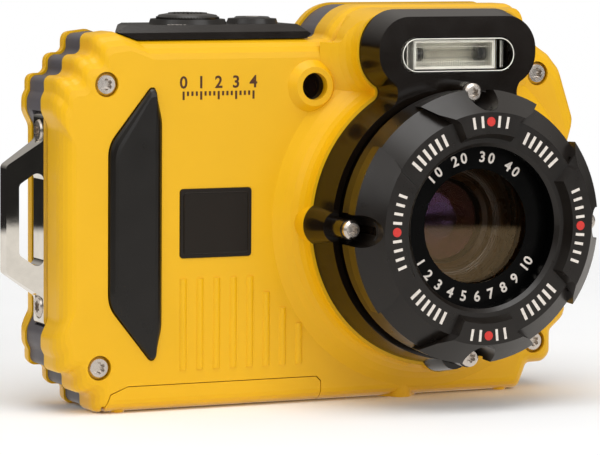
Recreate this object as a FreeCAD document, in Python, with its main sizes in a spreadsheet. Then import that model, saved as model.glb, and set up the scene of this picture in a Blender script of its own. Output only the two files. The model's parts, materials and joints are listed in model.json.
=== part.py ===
"""Waterproof digital camera with a fixed lens housing, built as separate pieces in one document.

X runs to the right seen from the front, Y runs from the front to the back, Z is up.
The origin is the mouth of the tripod socket, on the plane that the camera stands on.
"""
import FreeCAD
import Part
import Sketcher
import math
import os
import re

V = FreeCAD.Vector
X_AXIS = V(1, 0, 0)
Y_AXIS = V(0, 1, 0)
Z_AXIS = V(0, 0, 1)

# Driving sizes: name, millimetres (or degrees, or a count), what it is
SIZES = (
    # Case
    ("case_left", -69.3, "outermost wave on the left, from the tripod socket"),
    ("side_right", 35.1, "straight right side, from the tripod socket"),
    ("case_bottom", 0.15, "underside of the case above the ground"),
    ("case_top", 68.5, "shoulders of the case above the ground"),
    ("face_y", -5.5, "flat front face, from the tripod socket"),
    ("front_depth", 8.0, "front shell, face to parting plane"),
    ("band_depth", 7.9, "middle band"),
    ("rear_depth", 5.3, "rear shell"),
    ("case_wall", 1.8, "wall of the shells"),
    ("rim_wall", 2.9, "wall round the case behind the corner waves"),
    ("band_inset", 0.35, "middle band lies this far inside the shells"),
    ("spine_inset", 2.6, "strap bar, hinge lug and lock behind the front of the band"),
    ("edge_inset", 2.4, "rounding of the front edge, across"),
    ("edge_depth", 3.6, "rounding of the front edge, in depth"),
    ("top_edge_inset", 3.4, "rounding of the front edge along the top"),
    ("rear_edge_inset", 3.0, "rounding of the rear edge, across"),
    ("rear_edge_depth", 4.4, "rounding of the rear edge, in depth"),
    ("cavity_floor", 6.7, "floor of the sealed inside above the ground"),
    ("floor_chamfer", 11.5, "lower corners of the sealed inside"),
    ("roof_chamfer", 16.8, "upper corners of the sealed inside"),
    # Corner waves
    ("wave_start", 0.6, "first step inwards"),
    ("wave_step", 3.45, "width of a corner step"),
    ("wave_rise", 3.7, "height of a corner step"),
    ("wave_round", 1.4, "radius of a corner step"),
    ("lobe_round", 3.0, "radius of the long wave on the side"),
    ("dent_depth", 0.05, "dent beside the last step"),
    ("dent_rise", 2.8, "dent above the last step"),
    ("dent_round", 0.7, "radius of the dent"),
    ("shoulder_step", 0.5, "rise of the shoulder beyond the first step"),
    ("lobe_rise", 4.0, "start of the long wave above the last step"),
    ("lobe_length", 2.4, "crest of the long wave"),
    ("side_rise", 9.0, "start of the straight side above the last step"),
    ("side_inset", 1.3, "straight side inside the outermost wave"),
    # Hump over the flash
    ("hump_half", 19.8, "half width of the hump in the case outline"),
    ("hump_top", 73.0, "top of the hump"),
    ("hump_round", 8.2, "shoulders of the hump"),
    ("hump_slope", 1.1, "fall of the hump towards the front"),
    # Raised ground under the lens housing
    ("island_depth", 6.1, "raised ground in front of the face"),
    ("island_radius", 27.0, "raised ground round the lens"),
    ("island_flare", 4.6, "foot of the raised ground, outwards"),
    ("island_bore", 20.6, "opening in the raised ground"),
    ("gasket_radius", 21.1, "flat seal under the lens housing, inside"),
    ("gasket_width", 1.2, "flat seal under the lens housing"),
    # Lens housing
    ("lens_x", 4.2, "lens axis, from the tripod socket"),
    ("lens_z", 33.5, "lens axis above the ground"),
    ("base_depth", 5.9, "lens housing, front to back"),
    ("base_radius", 25.2, "lens housing at its front rim"),
    ("base_draft", 1.2, "growth of the lens housing towards the back"),
    ("base_groove", 1.2, "groove inside the front rim"),
    ("neck_radius", 22.3, "neck behind the lens ring"),
    ("tube_radius", 21.0, "window tube, outside"),
    ("tube_bore", 17.4, "window tube, inside"),
    ("tube_front", 27.0, "front end of the window tube before the socket"),
    ("ledge_bore", 15.0, "ledge that carries the window seal"),
    ("ledge_front", 21.9, "front of that ledge before the socket"),
    ("ledge_depth", 1.0, "thickness of that ledge"),
    ("post_circle", 24.1, "circle of the housing screws"),
    ("post_radius", 1.9, "screw post"),
    ("post_height", 4.9, "screw post in front of the housing"),
    ("lobe_radius", 2.9, "housing lobe round a screw post"),
    ("neck_fillet", 3.0, "hollow between the round housing and the flash housing"),
    # Lens ring
    ("ring_back", 19.9, "back of the lens ring before the socket"),
    ("ring_front", 30.4, "front of the lens ring before the socket"),
    ("ring_radius", 24.9, "lens ring, widest"),
    ("ring_back_radius", 24.5, "lens ring at its back"),
    ("ring_face_radius", 21.0, "outer edge of the four raised pads"),
    ("ring_slope_depth", 4.6, "depth of the sloped outer edge"),
    ("ring_step", 1.9, "raised pads in front of the face between them"),
    ("ring_step_in", 0.8, "the face between the pads is this much smaller"),
    ("ring_pad_radius", 17.1, "inner edge of the raised pads"),
    ("ring_pad_flank", 0.9, "slope of the pads' inner edge, across"),
    ("ring_mouth_radius", 15.4, "mouth of the ring at its face"),
    ("ring_lip_radius", 14.7, "mouth of the ring at its lip"),
    ("ring_lip_depth", 0.7, "lip behind the ring face"),
    ("ring_gap", 0.3, "ring round the window tube"),
    ("ring_notch", 2.9, "notch round a screw post"),
    # Window
    ("window_radius", 17.1, "lens window"),
    ("window_thickness", 1.5, "lens window"),
    ("seal_thickness", 0.6, "flat seals"),
    ("retainer_thickness", 0.9, "ring in front of the window"),
    ("window_clear_radius", 10.4, "clear opening of the window"),
    # Lens unit
    ("barrel_radius", 16.4, "fixed lens barrel, outside"),
    ("barrel_wall", 1.0, "walls of the lens barrels"),
    ("barrel_gap", 0.3, "gap between one barrel and the next"),
    ("barrel_front", 15.0, "front end of the fixed barrel before the socket"),
    ("flange_y", 5.0, "front of the lens flange behind the socket"),
    ("flange_size", 38.0, "square lens flange"),
    ("flange_thickness", 1.6, "square lens flange"),
    ("front_barrel_front", 13.5, "front of the inner barrel before the socket"),
    ("front_lens_radius", 7.8, "front lens element"),
    ("front_lens_thickness", 2.6, "front lens element at its middle"),
    ("front_lens_edge", 1.2, "front lens element at its rim"),
    # Flash
    ("flash_z", 64.8, "middle of the flash housing above the ground"),
    ("flash_half", 16.0, "half width of the flash housing at its front"),
    ("flash_radius", 6.4, "half height of the flash housing at its front"),
    ("flash_window_half", 11.6, "half width of the flash window"),
    ("flash_window_radius", 3.2, "half height of the flash window"),
    ("flash_window_z", 64.2, "middle of the flash window above the ground"),
    ("flash_tube_radius", 0.9, "flash tube"),
    ("reflector_half", 8.4, "half width of the flash reflector"),
    ("reflector_wall", 0.6, "end walls of the flash reflector"),
    ("capacitor_radius", 4.2, "flash capacitor"),
    ("capacitor_length", 24.0, "flash capacitor"),
    # Lamp
    ("lamp_x", -19.6, "focus lamp, from the tripod socket"),
    ("lamp_z", 58.3, "focus lamp above the ground"),
    ("lamp_radius", 2.45, "lamp window"),
    ("lamp_collar_radius", 4.3, "raised collar of the lamp"),
    ("lamp_collar_height", 1.5, "raised collar of the lamp"),
    # Grip, badge and ribs
    ("grip_left", -59.4, "outer edge of the grip inlay"),
    ("grip_right", -49.3, "inner edge of the grip inlay"),
    ("grip_tip", -50.9, "tips of the grip inlay"),
    ("grip_top", 58.4, "upper tip of the grip inlay"),
    ("grip_bottom", 9.5, "lower tip of the grip inlay"),
    ("grip_shoulder", 10.1, "slanted ends of the grip inlay, along it"),
    ("grip_proud", 1.0, "grip inlay in front of the face"),
    ("grip_seat", 0.8, "seat of the grip inlay in the face"),
    ("badge_x", -38.6, "middle of the badge"),
    ("badge_z", 33.9, "middle of the badge above the ground"),
    ("badge_width", 14.0, "badge"),
    ("badge_height", 12.4, "badge"),
    ("badge_thickness", 0.5, "badge"),
    ("badge_seat", 0.3, "seat of the badge in the face"),
    ("rib_first", -44.95, "first rib"),
    ("rib_pitch", 3.3, "rib to rib"),
    ("rib_radius", 0.9, "radius of a rib"),
    ("rib_proud", 0.35, "rib in front of the face"),
    ("rib_bottom", 7.4, "lower ends of the ribs"),
    ("rib_top", 23.9, "upper ends of the long ribs"),
    ("rib_fall", 3.0, "each short rib is this much shorter than the one before"),
    ("long_ribs", 5, "number of long ribs"),
    ("short_ribs", 3, "number of short ribs"),
    # Case screws
    ("screw_top_left_x", -59.8, "front screw"),
    ("screw_bottom_left_x", -61.1, "front screw"),
    ("screw_right_x", 27.4, "front screws on the right"),
    ("screw_top_z", 59.2, "upper left screw"),
    ("screw_bottom_z", 8.5, "lower left screw"),
    ("screw_right_rise", 0.7, "screws on the right above those on the left"),
    ("screw_head_radius", 2.05, "case screw head"),
    ("screw_head_height", 1.3, "case screw head"),
    ("screw_shank_radius", 1.0, "case screw shank"),
    ("screw_length", 9.0, "case screw, under its head"),
    ("screw_sink", 0.25, "case screw head below the face"),
    # Strap bar
    ("bar_reach", 7.1, "strap bar outside the straight side"),
    ("bar_thickness", 2.2, "strap bar, seen from the front"),
    ("bar_depth", 5.0, "strap bar, front to back"),
    ("bar_front_slope", 2.1, "front of the strap bar slopes back by this much"),
    ("tab_thickness", 1.5, "tabs of the strap bar"),
    ("tab_proud", 0.7, "tabs outside the straight side"),
    ("bar_mid_z", 34.7, "middle of the strap bar above the ground"),
    ("bar_half_height", 19.3, "middle of the strap bar to the end of a tab"),
    ("bar_tab", 5.1, "tab of the strap bar"),
    ("bar_root", 9.9, "end of the strap bar to the opening in it"),
    ("bar_bend", 3.4, "inner bend of the strap bar nearer to its middle than the outer one"),
    ("bar_screw_inset", 3.4, "end of a tab to its screw"),
    ("bar_slant", 4.5, "slanted part of the strap bar, along the side"),
    ("bar_screw_radius", 2.0, "strap bar screw head"),
    ("bar_screw_head", 1.0, "strap bar screw head"),
    ("bar_screw_sink", 0.7, "seat of the screw heads in the tabs"),
    # Top controls
    ("panel_left", -57.5, "left tip of the top panel"),
    ("panel_right", -18.8, "right tip of the top panel"),
    ("panel_slant", 4.4, "slanted left end of the top panel"),
    ("panel_rake", 8.3, "left end of the panel runs in by this much towards the back"),
    ("panel_seat", 66.9, "seat of the top panel above the ground"),
    ("panel_top", 69.5, "top of the top panel above the ground"),
    ("panel_front", -3.4, "front edge of the top panel"),
    ("panel_back", 13.4, "back edge of the top panel"),
    ("panel_bevel", 1.3, "bevel round the top panel"),
    ("control_y", 5.1, "middle of the top buttons behind the socket"),
    ("shutter_x", -39.7, "shutter button"),
    ("shutter_radius", 5.75, "shutter button"),
    ("shutter_height", 2.0, "shutter button above the panel"),
    ("shutter_travel", 1.2, "travel of the shutter button"),
    ("power_x", -26.8, "power button"),
    ("power_radius", 3.4, "power button"),
    ("power_height", 1.2, "power button above the panel"),
    ("power_travel", 0.5, "travel of the power button"),
    ("bezel_width", 1.15, "bezels round the top buttons"),
    ("bezel_height", 0.85, "bezels round the top buttons"),
    ("button_gap", 0.2, "top button in its bezel"),
    # Back
    ("display_x", -1.6, "middle of the display"),
    ("display_z", 34.0, "middle of the display above the ground"),
    ("display_width", 58.0, "display window"),
    ("display_height", 44.0, "display window"),
    ("display_glass", 1.0, "thickness of the display window"),
    ("display_proud", 0.2, "display window behind the rear face"),
    ("keys_x", -48.5, "middle of the rear keys"),
    ("key_offset", 5.6, "round keys to each side of the middle"),
    ("key_radius", 3.4, "round keys"),
    ("key_gap", 0.12, "key in its hole"),
    ("key_proud", 0.6, "keys behind the rear face"),
    ("key_length", 3.3, "keys, front to back"),
    ("key_upper_z", 47.8, "upper round keys above the ground"),
    ("key_lower_z", 16.4, "lower round keys above the ground"),
    ("key_travel", 0.5, "travel of the round keys"),
    ("pad_z", 32.0, "middle of the direction pad above the ground"),
    ("pad_radius", 9.5, "direction pad"),
    ("set_radius", 3.8, "middle key"),
    ("rocker_z", 57.4, "zoom rocker above the ground"),
    ("rocker_half", 7.0, "half width of the zoom rocker"),
    ("rocker_radius", 2.7, "half height of the zoom rocker"),
    # Battery door
    ("door_gap", 0.15, "gap round the door"),
    ("door_right", -17.4, "right end of the door"),
    ("door_lip", 4.8, "top of the door's front edge above the ground"),
    ("door_plate", 1.6, "floor of the door"),
    ("hinge_x", -58.6, "hinge pin"),
    ("hinge_z", 1.25, "hinge pin above the ground"),
    ("knuckle_radius", 1.1, "knuckle of the door round the hinge pin"),
    ("hinge_relief", 1.8, "room round the hinge for the turning door"),
    ("hinge_pin_radius", 0.5, "hinge pin"),
    ("hinge_clearance", 0.05, "running gap round the hinge pin"),
    ("lug_depth", 4.9, "hinge lug of the band, front to back"),
    ("lock_width", 7.0, "lock slider, along the door"),
    ("lock_length", 9.0, "lock slider, across the door"),
    ("lock_thickness", 0.8, "lock slider"),
    ("lock_travel", 2.0, "travel of the lock slider"),
    ("tongue_width", 4.0, "tongue of the lock slider"),
    ("foot_radius", 1.2, "small feet"),
    # Battery, card and socket
    ("battery_left", -54.8, "battery"),
    ("battery_width", 33.0, "battery"),
    ("battery_thickness", 7.6, "battery"),
    ("battery_length", 40.0, "battery"),
    ("battery_front", -2.4, "front of the battery from the socket"),
    ("battery_end", 5.5, "lower end of the battery above the ground"),
    ("holder_wall", 0.8, "battery holder"),
    ("fit_gap", 0.2, "battery and card in their holder"),
    ("card_width", 24.0, "memory card"),
    ("card_thickness", 2.1, "memory card"),
    ("card_length", 32.0, "memory card"),
    ("card_chamfer", 3.0, "cut corner of the memory card"),
    ("usb_thickness", 2.2, "data socket"),
    ("usb_width", 8.0, "data socket"),
    ("usb_length", 5.6, "data socket"),
    # Boards and small parts inside
    ("board_front", 10.3, "front of the main board behind the socket"),
    ("board_thickness", 1.0, "main board"),
    ("module_thickness", 2.2, "display module"),
    ("mat_thickness", 0.7, "rubber key mat"),
    ("motor_radius", 3.5, "zoom motor"),
    ("motor_length", 8.2, "zoom motor"),
    ("speaker_radius", 6.0, "speaker"),
    ("speaker_thickness", 3.0, "speaker"),
    # Tripod socket
    ("boss_radius", 4.4, "boss round the tripod socket"),
    ("boss_foot_radius", 2.3, "front foot of the boss"),
    ("boss_foot_height", 3.0, "front foot of the boss"),
    ("bush_radius", 3.7, "metal bush, outside"),
    ("bush_bore", 2.55, "metal bush, thread core radius"),
    ("bush_height", 6.0, "metal bush"),
    ("bush_depth", 5.2, "depth of the thread"),
)

# Places that follow from the driving sizes: name, formula, what it is
PLACES = (
    ("side_left", "case_left + side_inset", "straight left side"),
    ("band_front", "face_y + front_depth", "front of the middle band"),
    ("band_back", "band_front + band_depth", "back of the middle band"),
    ("back_y", "band_back + rear_depth", "rear face"),
    ("inside_front", "face_y + case_wall", "inner side of the front wall"),
    ("inside_back", "back_y - case_wall", "inner side of the rear wall"),
    ("inside_left", "case_left + rim_wall", "sealed inside, left"),
    ("inside_right", "side_right - rim_wall", "sealed inside, right"),
    ("inside_top", "panel_seat - case_wall", "sealed inside, top"),
    ("island_y", "face_y - island_depth", "seat of the lens housing"),
    ("base_front", "island_y - base_depth", "front plane of the lens housing"),
    ("post_top", "base_front - post_height", "front end of a screw post"),
    ("seal_front", "ledge_front + seal_thickness", "back of the window, before the socket"),
    ("glass_front", "seal_front + window_thickness", "front of the window, before the socket"),
    ("retainer_front", "glass_front + retainer_thickness", "front of the ring before the window"),
    ("cam_radius", "barrel_radius - barrel_wall - barrel_gap", "cam ring"),
    ("zoom_radius", "cam_radius - barrel_wall - barrel_gap", "outer moving barrel"),
    ("front_radius", "zoom_radius - barrel_wall - barrel_gap", "inner moving barrel"),
    ("flange_back", "flange_y + flange_thickness", "back of the lens flange"),
    ("holder_left", "battery_left - fit_gap - holder_wall", "battery holder, left"),
    ("holder_right", "battery_left + battery_width + fit_gap + holder_wall", "battery holder, right"),
    ("holder_front", "battery_front - fit_gap - holder_wall", "battery holder, front"),
    ("card_front", "battery_front + battery_thickness + 2 * fit_gap + holder_wall", "card, front"),
    ("holder_back", "card_front + card_thickness + fit_gap + holder_wall", "battery holder, back"),
    ("holder_bottom", "door_lip + 0.2", "mouth of the battery holder"),
    ("holder_top", "battery_end + battery_length + 2.2", "battery holder, top"),
    ("key_back", "back_y + key_proud", "outer end of the keys"),
    ("key_front", "key_back - key_length", "inner end of the keys"),
    ("bar_outer", "side_left - bar_reach", "outside of the strap bar"),
    ("bar_face", "side_left - tab_proud", "outside of the strap bar tabs"),
    ("bar_tab_x", "bar_face + tab_thickness", "seat of the strap bar tabs"),
    ("spine_y", "band_front + spine_inset", "middle of strap bar, hinge lug and lock, in depth"),
)

doc = FreeCAD.newDocument("Camera")
sheet = doc.addObject("Spreadsheet::Sheet", "Sizes")
for row, (alias, amount, note) in enumerate(SIZES, start=1):
    sheet.set(f"A{row}", alias)
    sheet.set(f"B{row}", str(amount))
    sheet.set(f"C{row}", note)
    sheet.setAlias(f"B{row}", alias)
doc.recompute()

SIZE_NAMES = {alias for alias, amount, note in SIZES}
PLACE_NAMES = {name for name, formula, note in PLACES}
WORD = re.compile(r"[a-z_]+")


def bound(formula):
    """The formula with each size and place named in its own object."""
    def owner(match):
        word = match.group(0)
        if word in SIZE_NAMES:
            return "Sizes." + word
        if word in PLACE_NAMES:
            return "Layout." + word
        return word
    return WORD.sub(owner, formula)


layout = doc.addObject("App::FeaturePython", "Layout")
for name, formula, note in PLACES:
    layout.addProperty("App::PropertyFloat", name, "Places", note)
    layout.setExpression(name, bound(formula))
doc.recompute()


class Reader:
    """Sizes and places as numbers, by name."""

    def __getattr__(self, name):
        if name in PLACE_NAMES:
            return float(layout.getPropertyByName(name))
        return float(sheet.get(name))


mm = Reader()
nodes = []


def bind(item, **formulas):
    """Bind properties of an object to formulas."""
    for prop, formula in formulas.items():
        item.setExpression(prop.replace("_", ".") if prop.startswith("Placement") else prop, bound(formula))


def place(item, x="0", y="0", z="0", turn=None):
    """Put an object at bound coordinates, turned by (axis, degrees)."""
    if turn:
        item.Placement = FreeCAD.Placement(V(0, 0, 0), FreeCAD.Rotation(*turn))
    bind(item, Placement_Base_x=x, Placement_Base_y=y, Placement_Base_z=z)
    return item


FORWARD = (X_AXIS, 90)
BACKWARD = (X_AXIS, -90)
SIDEWAYS = (Y_AXIS, 90)


def node(item, label=None):
    """Keep this object as a piece of the camera."""
    if label:
        item.Label = label
    nodes.append(item)
    return item


def block(name, x, y, z, length, width, height):
    """Box from its lowest corner."""
    item = doc.addObject("Part::Box", name)
    bind(item, Length=length, Width=width, Height=height)
    return place(item, x, y, z)


def rod(name, radius, length, x, y, z, turn=None):
    """Cylinder from the middle of its end."""
    item = doc.addObject("Part::Cylinder", name)
    bind(item, Radius=radius, Height=length)
    return place(item, x, y, z, turn)


def cut(name, base, *tools):
    """Base without the tools."""
    item = doc.addObject("Part::Cut", name)
    item.Base = base
    item.Tool = tools[0] if len(tools) == 1 else fuse(name + "_tools", *tools)
    return item


def fuse(name, *items):
    """All items as one."""
    item = doc.addObject("Part::MultiFuse", name)
    item.Shapes = list(items)
    return item


def feature(name, shape):
    """Piece whose form is worked out from the sizes in this file."""
    item = doc.addObject("Part::Feature", name)
    item.Shape = shape
    return node(item)


# Sketch based pieces

def new_body(name, x="0", y="0", z="0", turn=None):
    body = doc.addObject("PartDesign::Body", name)
    return node(place(body, x, y, z, turn))


def new_sketch(body, role, lift="0"):
    """Sketch on one of the body's own planes, lifted off it."""
    plane = next(item for item in body.Origin.OriginFeatures if item.Role == role)
    sketch = body.newObject("Sketcher::SketchObject", body.Name + "_sketch")
    sketch.AttachmentSupport = [(plane, "")]
    sketch.MapMode = "FlatFace"
    sketch.setExpression("AttachmentOffset.Base.z", bound(lift))
    return sketch


def formula_value(formula):
    """Number of a formula, read back through a property of the layout."""
    layout.setExpression("probe", bound(formula))
    doc.recompute([layout])
    return float(layout.probe)


layout.addProperty("App::PropertyFloat", "probe", "Places", "scratch value of a formula")


def draw_polygon(sketch, corners):
    """Closed outline; each corner's two distances are bound to formulas."""
    spots = [(formula_value(across), formula_value(along)) for across, along in corners]
    first = sketch.GeometryCount
    count = len(spots)
    for index, spot in enumerate(spots):
        after = spots[(index + 1) % count]
        sketch.addGeometry(Part.LineSegment(V(*spot, 0), V(*after, 0)), False)
    for index, (across, along) in enumerate(corners):
        line = first + index
        sketch.addConstraint(Sketcher.Constraint("Coincident", line, 2, first + (index + 1) % count, 1))
        for kind, formula, amount in (("DistanceX", across, spots[index][0]),
                                      ("DistanceY", along, spots[index][1])):
            number = sketch.addConstraint(Sketcher.Constraint(kind, -1, 1, line, 1, amount))
            sketch.setExpression(f"Constraints[{number}]", bound(formula))


def draw_circle(sketch, radius, across="0", along="0"):
    """Circle with a bound radius and centre."""
    spot = V(formula_value(across), formula_value(along), 0)
    number = sketch.addGeometry(Part.Circle(spot, Z_AXIS, formula_value(radius)), False)
    for kind, formula, amount in (("DistanceX", across, spot.x), ("DistanceY", along, spot.y)):
        index = sketch.addConstraint(Sketcher.Constraint(kind, -1, 1, number, 3, amount))
        sketch.setExpression(f"Constraints[{index}]", bound(formula))
    index = sketch.addConstraint(Sketcher.Constraint("Radius", number, formula_value(radius)))
    sketch.setExpression(f"Constraints[{index}]", bound(radius))


def pad(body, sketch, length):
    item = body.newObject("PartDesign::Pad", body.Name + "_pad")
    item.Profile = sketch
    item.setExpression("Length", bound(length))
    doc.recompute()
    return item


def pocket(body, sketch, depth):
    """Pocket against the sketch's normal; it has to take something away."""
    before = body.Shape.Volume
    item = body.newObject("PartDesign::Pocket", body.Name + "_pocket")
    item.Profile = sketch
    item.setExpression("Length", bound(depth))
    doc.recompute()
    if body.Shape.Volume > before - 1e-6:
        raise RuntimeError(f"a pocket of {body.Name} cuts nothing")
    return item


def turned(name, profile, x="0", y="0", z="0", turn=None):
    """Turned piece: profile corners are (radius, height along the axis)."""
    body = new_body(name, x, y, z, turn)
    sketch = new_sketch(body, "XZ_Plane")
    draw_polygon(sketch, profile)
    item = body.newObject("PartDesign::Revolution", name + "_turned")
    item.Profile = sketch
    item.ReferenceAxis = (sketch, ["V_Axis"])
    item.Angle = 360
    doc.recompute()
    return body


def rounded(body, radius, wanted, kind="Fillet"):
    """Round or bevel the edges that the test picks on the body's last form."""
    base = body.Tip
    names = [f"Edge{number}" for number, edge in enumerate(base.Shape.Edges, start=1) if wanted(edge)]
    if not names:
        raise RuntimeError(f"{body.Name} has no such edge")
    item = body.newObject("PartDesign::" + kind, body.Name + "_" + kind.lower())
    item.Base = (base, names)
    item.setExpression("Radius" if kind == "Fillet" else "Size", bound(radius))
    doc.recompute()
    return item


def along(axis):
    """Test for straight edges that run along an axis."""
    def wanted(edge):
        ends = edge.Vertexes
        if len(ends) != 2 or not isinstance(edge.Curve, Part.Line):
            return False
        run = ends[1].Point - ends[0].Point
        return abs(run.dot(axis)) > 0.999 * run.Length
    return wanted


def slab(name, corners, plane, start, depth):
    """Plate with a drawn outline, from start along the plane's normal."""
    body = new_body(name)
    sketch = new_sketch(body, plane, start)
    draw_polygon(sketch, corners)
    pad(body, sketch, depth)
    return body


def rectangle(left, bottom, width, height):
    """Corners of a rectangle as formulas."""
    right = f"{left} + {width}"
    top = f"{bottom} + {height}"
    return [(left, bottom), (right, bottom), (right, top), (left, top)]


# Outlines and lofts

def rounded_wire(corners, y):
    """Closed wire at depth y through corners (x, z, radius)."""
    count = len(corners)
    spots = [V(x, y, z) for x, z, radius in corners]
    arcs = []
    for index, spot in enumerate(spots):
        back = spots[index - 1] - spot
        ahead = spots[(index + 1) % count] - spot
        half = back.getAngle(ahead) / 2
        room = 0.47 * min(back.Length, ahead.Length) * math.tan(half)
        radius = min(corners[index][2], room)
        back.normalize()
        ahead.normalize()
        middle = back + ahead
        middle.normalize()
        run = radius / math.tan(half)
        centre = spot + middle * (radius / math.sin(half))
        arcs.append((spot + back * run, centre - middle * radius, spot + ahead * run))
    edges = []
    for index, (start, middle, end) in enumerate(arcs):
        edges.append(Part.Arc(start, middle, end).toShape())
        edges.append(Part.makeLine(end, arcs[(index + 1) % count][0]))
    return Part.Wire(edges)


def stadium(x, z, half, radius, y):
    """Long round-ended outline about (x, z)."""
    bend = 0.94 * radius
    corners = [(x - half, z - radius, bend), (x - half, z + radius, bend),
               (x + half, z + radius, bend), (x + half, z - radius, bend)]
    return rounded_wire(corners, y)


def corner_waves(end, inset, end_inset):
    """Stepped waves of one left case corner, from its flat end to the straight side."""
    edge = mm.case_left + inset
    level = mm.case_bottom + end_inset if end < 0 else mm.case_top - mm.shoulder_step - end_inset
    first = mm.wave_start
    step = mm.wave_step
    rise = mm.wave_rise
    tight = mm.wave_round
    wide = mm.lobe_round
    steps = [(first + 2 * step, 0, tight), (first + 2 * step, rise, tight),
             (first + step, rise, tight), (first + step, 2 * rise, tight),
             (first, 2 * rise, tight), (first + mm.dent_depth, 2 * rise + mm.dent_rise, mm.dent_round),
             (0, 2 * rise + mm.lobe_rise, wide), (0, 2 * rise + mm.lobe_rise + mm.lobe_length, wide),
             (mm.side_inset, 2 * rise + mm.side_rise, wide)]
    return [(edge + across, level - end * up, bend) for across, up, bend in steps]


# Corners of the plainer right side: outwards of the straight side, away from the end, radius
RIGHT_SHOULDER = ((-4.2, 4.5, 3.0), (-1.8, 7.3, 3.0), (1.2, 16.3, 2.5), (0.0, 20.5, 3.0))
RIGHT_HEEL = ((0.0, 13.25, 3.0), (-3.2, 10.45, 1.4), (-3.2, 4.75, 2.2), (-8.1, 4.6, 1.4), (-9.9, 0.0, 1.4))


def right_corners(inset, top_inset):
    """Corners of the right side, from the hump down to the underside."""
    edge = mm.side_right - inset
    top = mm.case_top - mm.shoulder_step - top_inset
    low = mm.case_bottom + inset
    shoulder = [(edge + across, top - fall, bend) for across, fall, bend in RIGHT_SHOULDER]
    return shoulder + [(edge + across, low + rise, bend) for across, rise, bend in RIGHT_HEEL]


def hump_shoulder(foot, seat, crown):
    """Corners of the hump's long round left shoulder, from its foot to its crown."""
    radius = mm.hump_round
    turn = math.acos(max(1.0 - (crown - seat) / radius, 0.0))
    middle_x = foot + radius * math.sin(turn)
    reach = radius / math.cos(turn / 6)
    return [(middle_x - reach * math.sin(turn * share), crown - radius + reach * math.cos(turn * share), radius)
            for share in (5 / 6, 1 / 2, 1 / 6)]


def case_outline(inset, top_inset=None):
    """Outline of the whole case, drawn inwards by the insets."""
    top_inset = inset if top_inset is None else top_inset
    left_foot = mm.lens_x - mm.hump_half + inset
    right_foot = mm.lens_x + mm.hump_half - inset
    shoulder = mm.case_top - top_inset
    seat = mm.panel_seat - top_inset
    crown = mm.hump_top - top_inset
    tight = mm.wave_round
    points = corner_waves(-1, inset, inset)
    points += reversed(corner_waves(1, inset, top_inset))
    tip = mm.panel_left + inset
    points += [(tip, shoulder, tight), (tip + mm.panel_slant, seat, tight), (left_foot, seat, tight)]
    points += hump_shoulder(left_foot, seat, crown)
    points += [(right_foot, crown, mm.hump_round), (right_foot, shoulder - mm.shoulder_step, tight)]
    return points + right_corners(inset, top_inset)


EDGE_STEPS = 5


def edge_sections(face, depth, inset, top_inset):
    """Case outlines that round off towards a face; depth is signed."""
    wires = []
    for step in range(EDGE_STEPS + 1):
        angle = math.radians(90 * step / EDGE_STEPS)
        share = 1 - math.sin(angle)
        y = face + depth * (1 - math.cos(angle))
        wires.append(rounded_wire(case_outline(inset * share, top_inset * share), y))
    return wires


def loft(wires):
    return Part.makeLoft(wires, True, True)


def prism(corners, start, end):
    """Solid between two depths with a rounded outline."""
    face = Part.Face(rounded_wire(corners, start))
    return face.extrude(V(0, end - start, 0))


def plate(corners, start, end):
    """Solid between two depths with sharp corners (x, z)."""
    spots = [V(x, start, z) for x, z in corners]
    face = Part.Face(Part.makePolygon(spots + spots[:1]))
    return face.extrude(V(0, end - start, 0))


def disc(radius, start, end, x, z):
    """Round solid along Y between two depths."""
    return Part.makeCylinder(radius, abs(end - start), V(x, min(start, end), z), Y_AXIS)


def taper(front_radius, back_radius, front, back, x, z):
    """Cone along Y between two depths."""
    if abs(front_radius - back_radius) < 1e-9:
        return disc(front_radius, front, back, x, z)
    return Part.makeCone(front_radius, back_radius, back - front, V(x, front, z), Y_AXIS)


def cuboid(left, right, front, back, bottom, top):
    return Part.makeBox(right - left, back - front, top - bottom, V(left, front, bottom))


def lens_turned(profile):
    """Turned solid about the lens axis; profile is (radius, depth y)."""
    spots = [V(mm.lens_x + radius, y, mm.lens_z) for radius, y in profile]
    face = Part.Face(Part.makePolygon(spots + spots[:1]))
    return face.revolve(V(mm.lens_x, 0, mm.lens_z), Y_AXIS, 360)


def joined(base, *others):
    return base.fuse(list(others)).removeSplitter()


def without(base, *others):
    return base.cut(list(others))


def cavity_outline(grow=0.0):
    """Sealed inside of the case, grown outwards."""
    left = mm.inside_left - grow
    right = mm.inside_right + grow
    low = mm.cavity_floor - grow
    high = mm.inside_top + grow
    roof = mm.roof_chamfer + 0.6 * grow
    floor = mm.floor_chamfer + 0.6 * grow
    return [(left, low + floor), (left, high - roof), (left + roof, high), (right - roof, high),
            (right, high - roof), (right, low + floor), (right - floor, low), (left + floor, low)]


def screw_spots():
    return [(mm.screw_top_left_x, mm.screw_top_z), (mm.screw_bottom_left_x, mm.screw_bottom_z),
            (mm.screw_right_x, mm.screw_top_z + mm.screw_right_rise),
            (mm.screw_right_x, mm.screw_bottom_z + mm.screw_right_rise)]


def post_spots():
    reach = mm.post_circle
    return [(mm.lens_x + reach * math.sin(angle), mm.lens_z + reach * math.cos(angle))
            for angle in (math.radians(90 * quarter) for quarter in range(4))]


def lobed_recess(x, z, front, radius, depth):
    """Six-lobed driver recess in a screw head that faces the front."""
    core = disc(0.72 * radius, front, front + depth, x, z)
    lobes = []
    for number in range(6):
        angle = math.radians(60 * number)
        lobes.append(disc(0.3 * radius, front, front + depth, x + 0.7 * radius * math.sin(angle),
                          z + 0.7 * radius * math.cos(angle)))
    return core.fuse(lobes)


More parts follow.
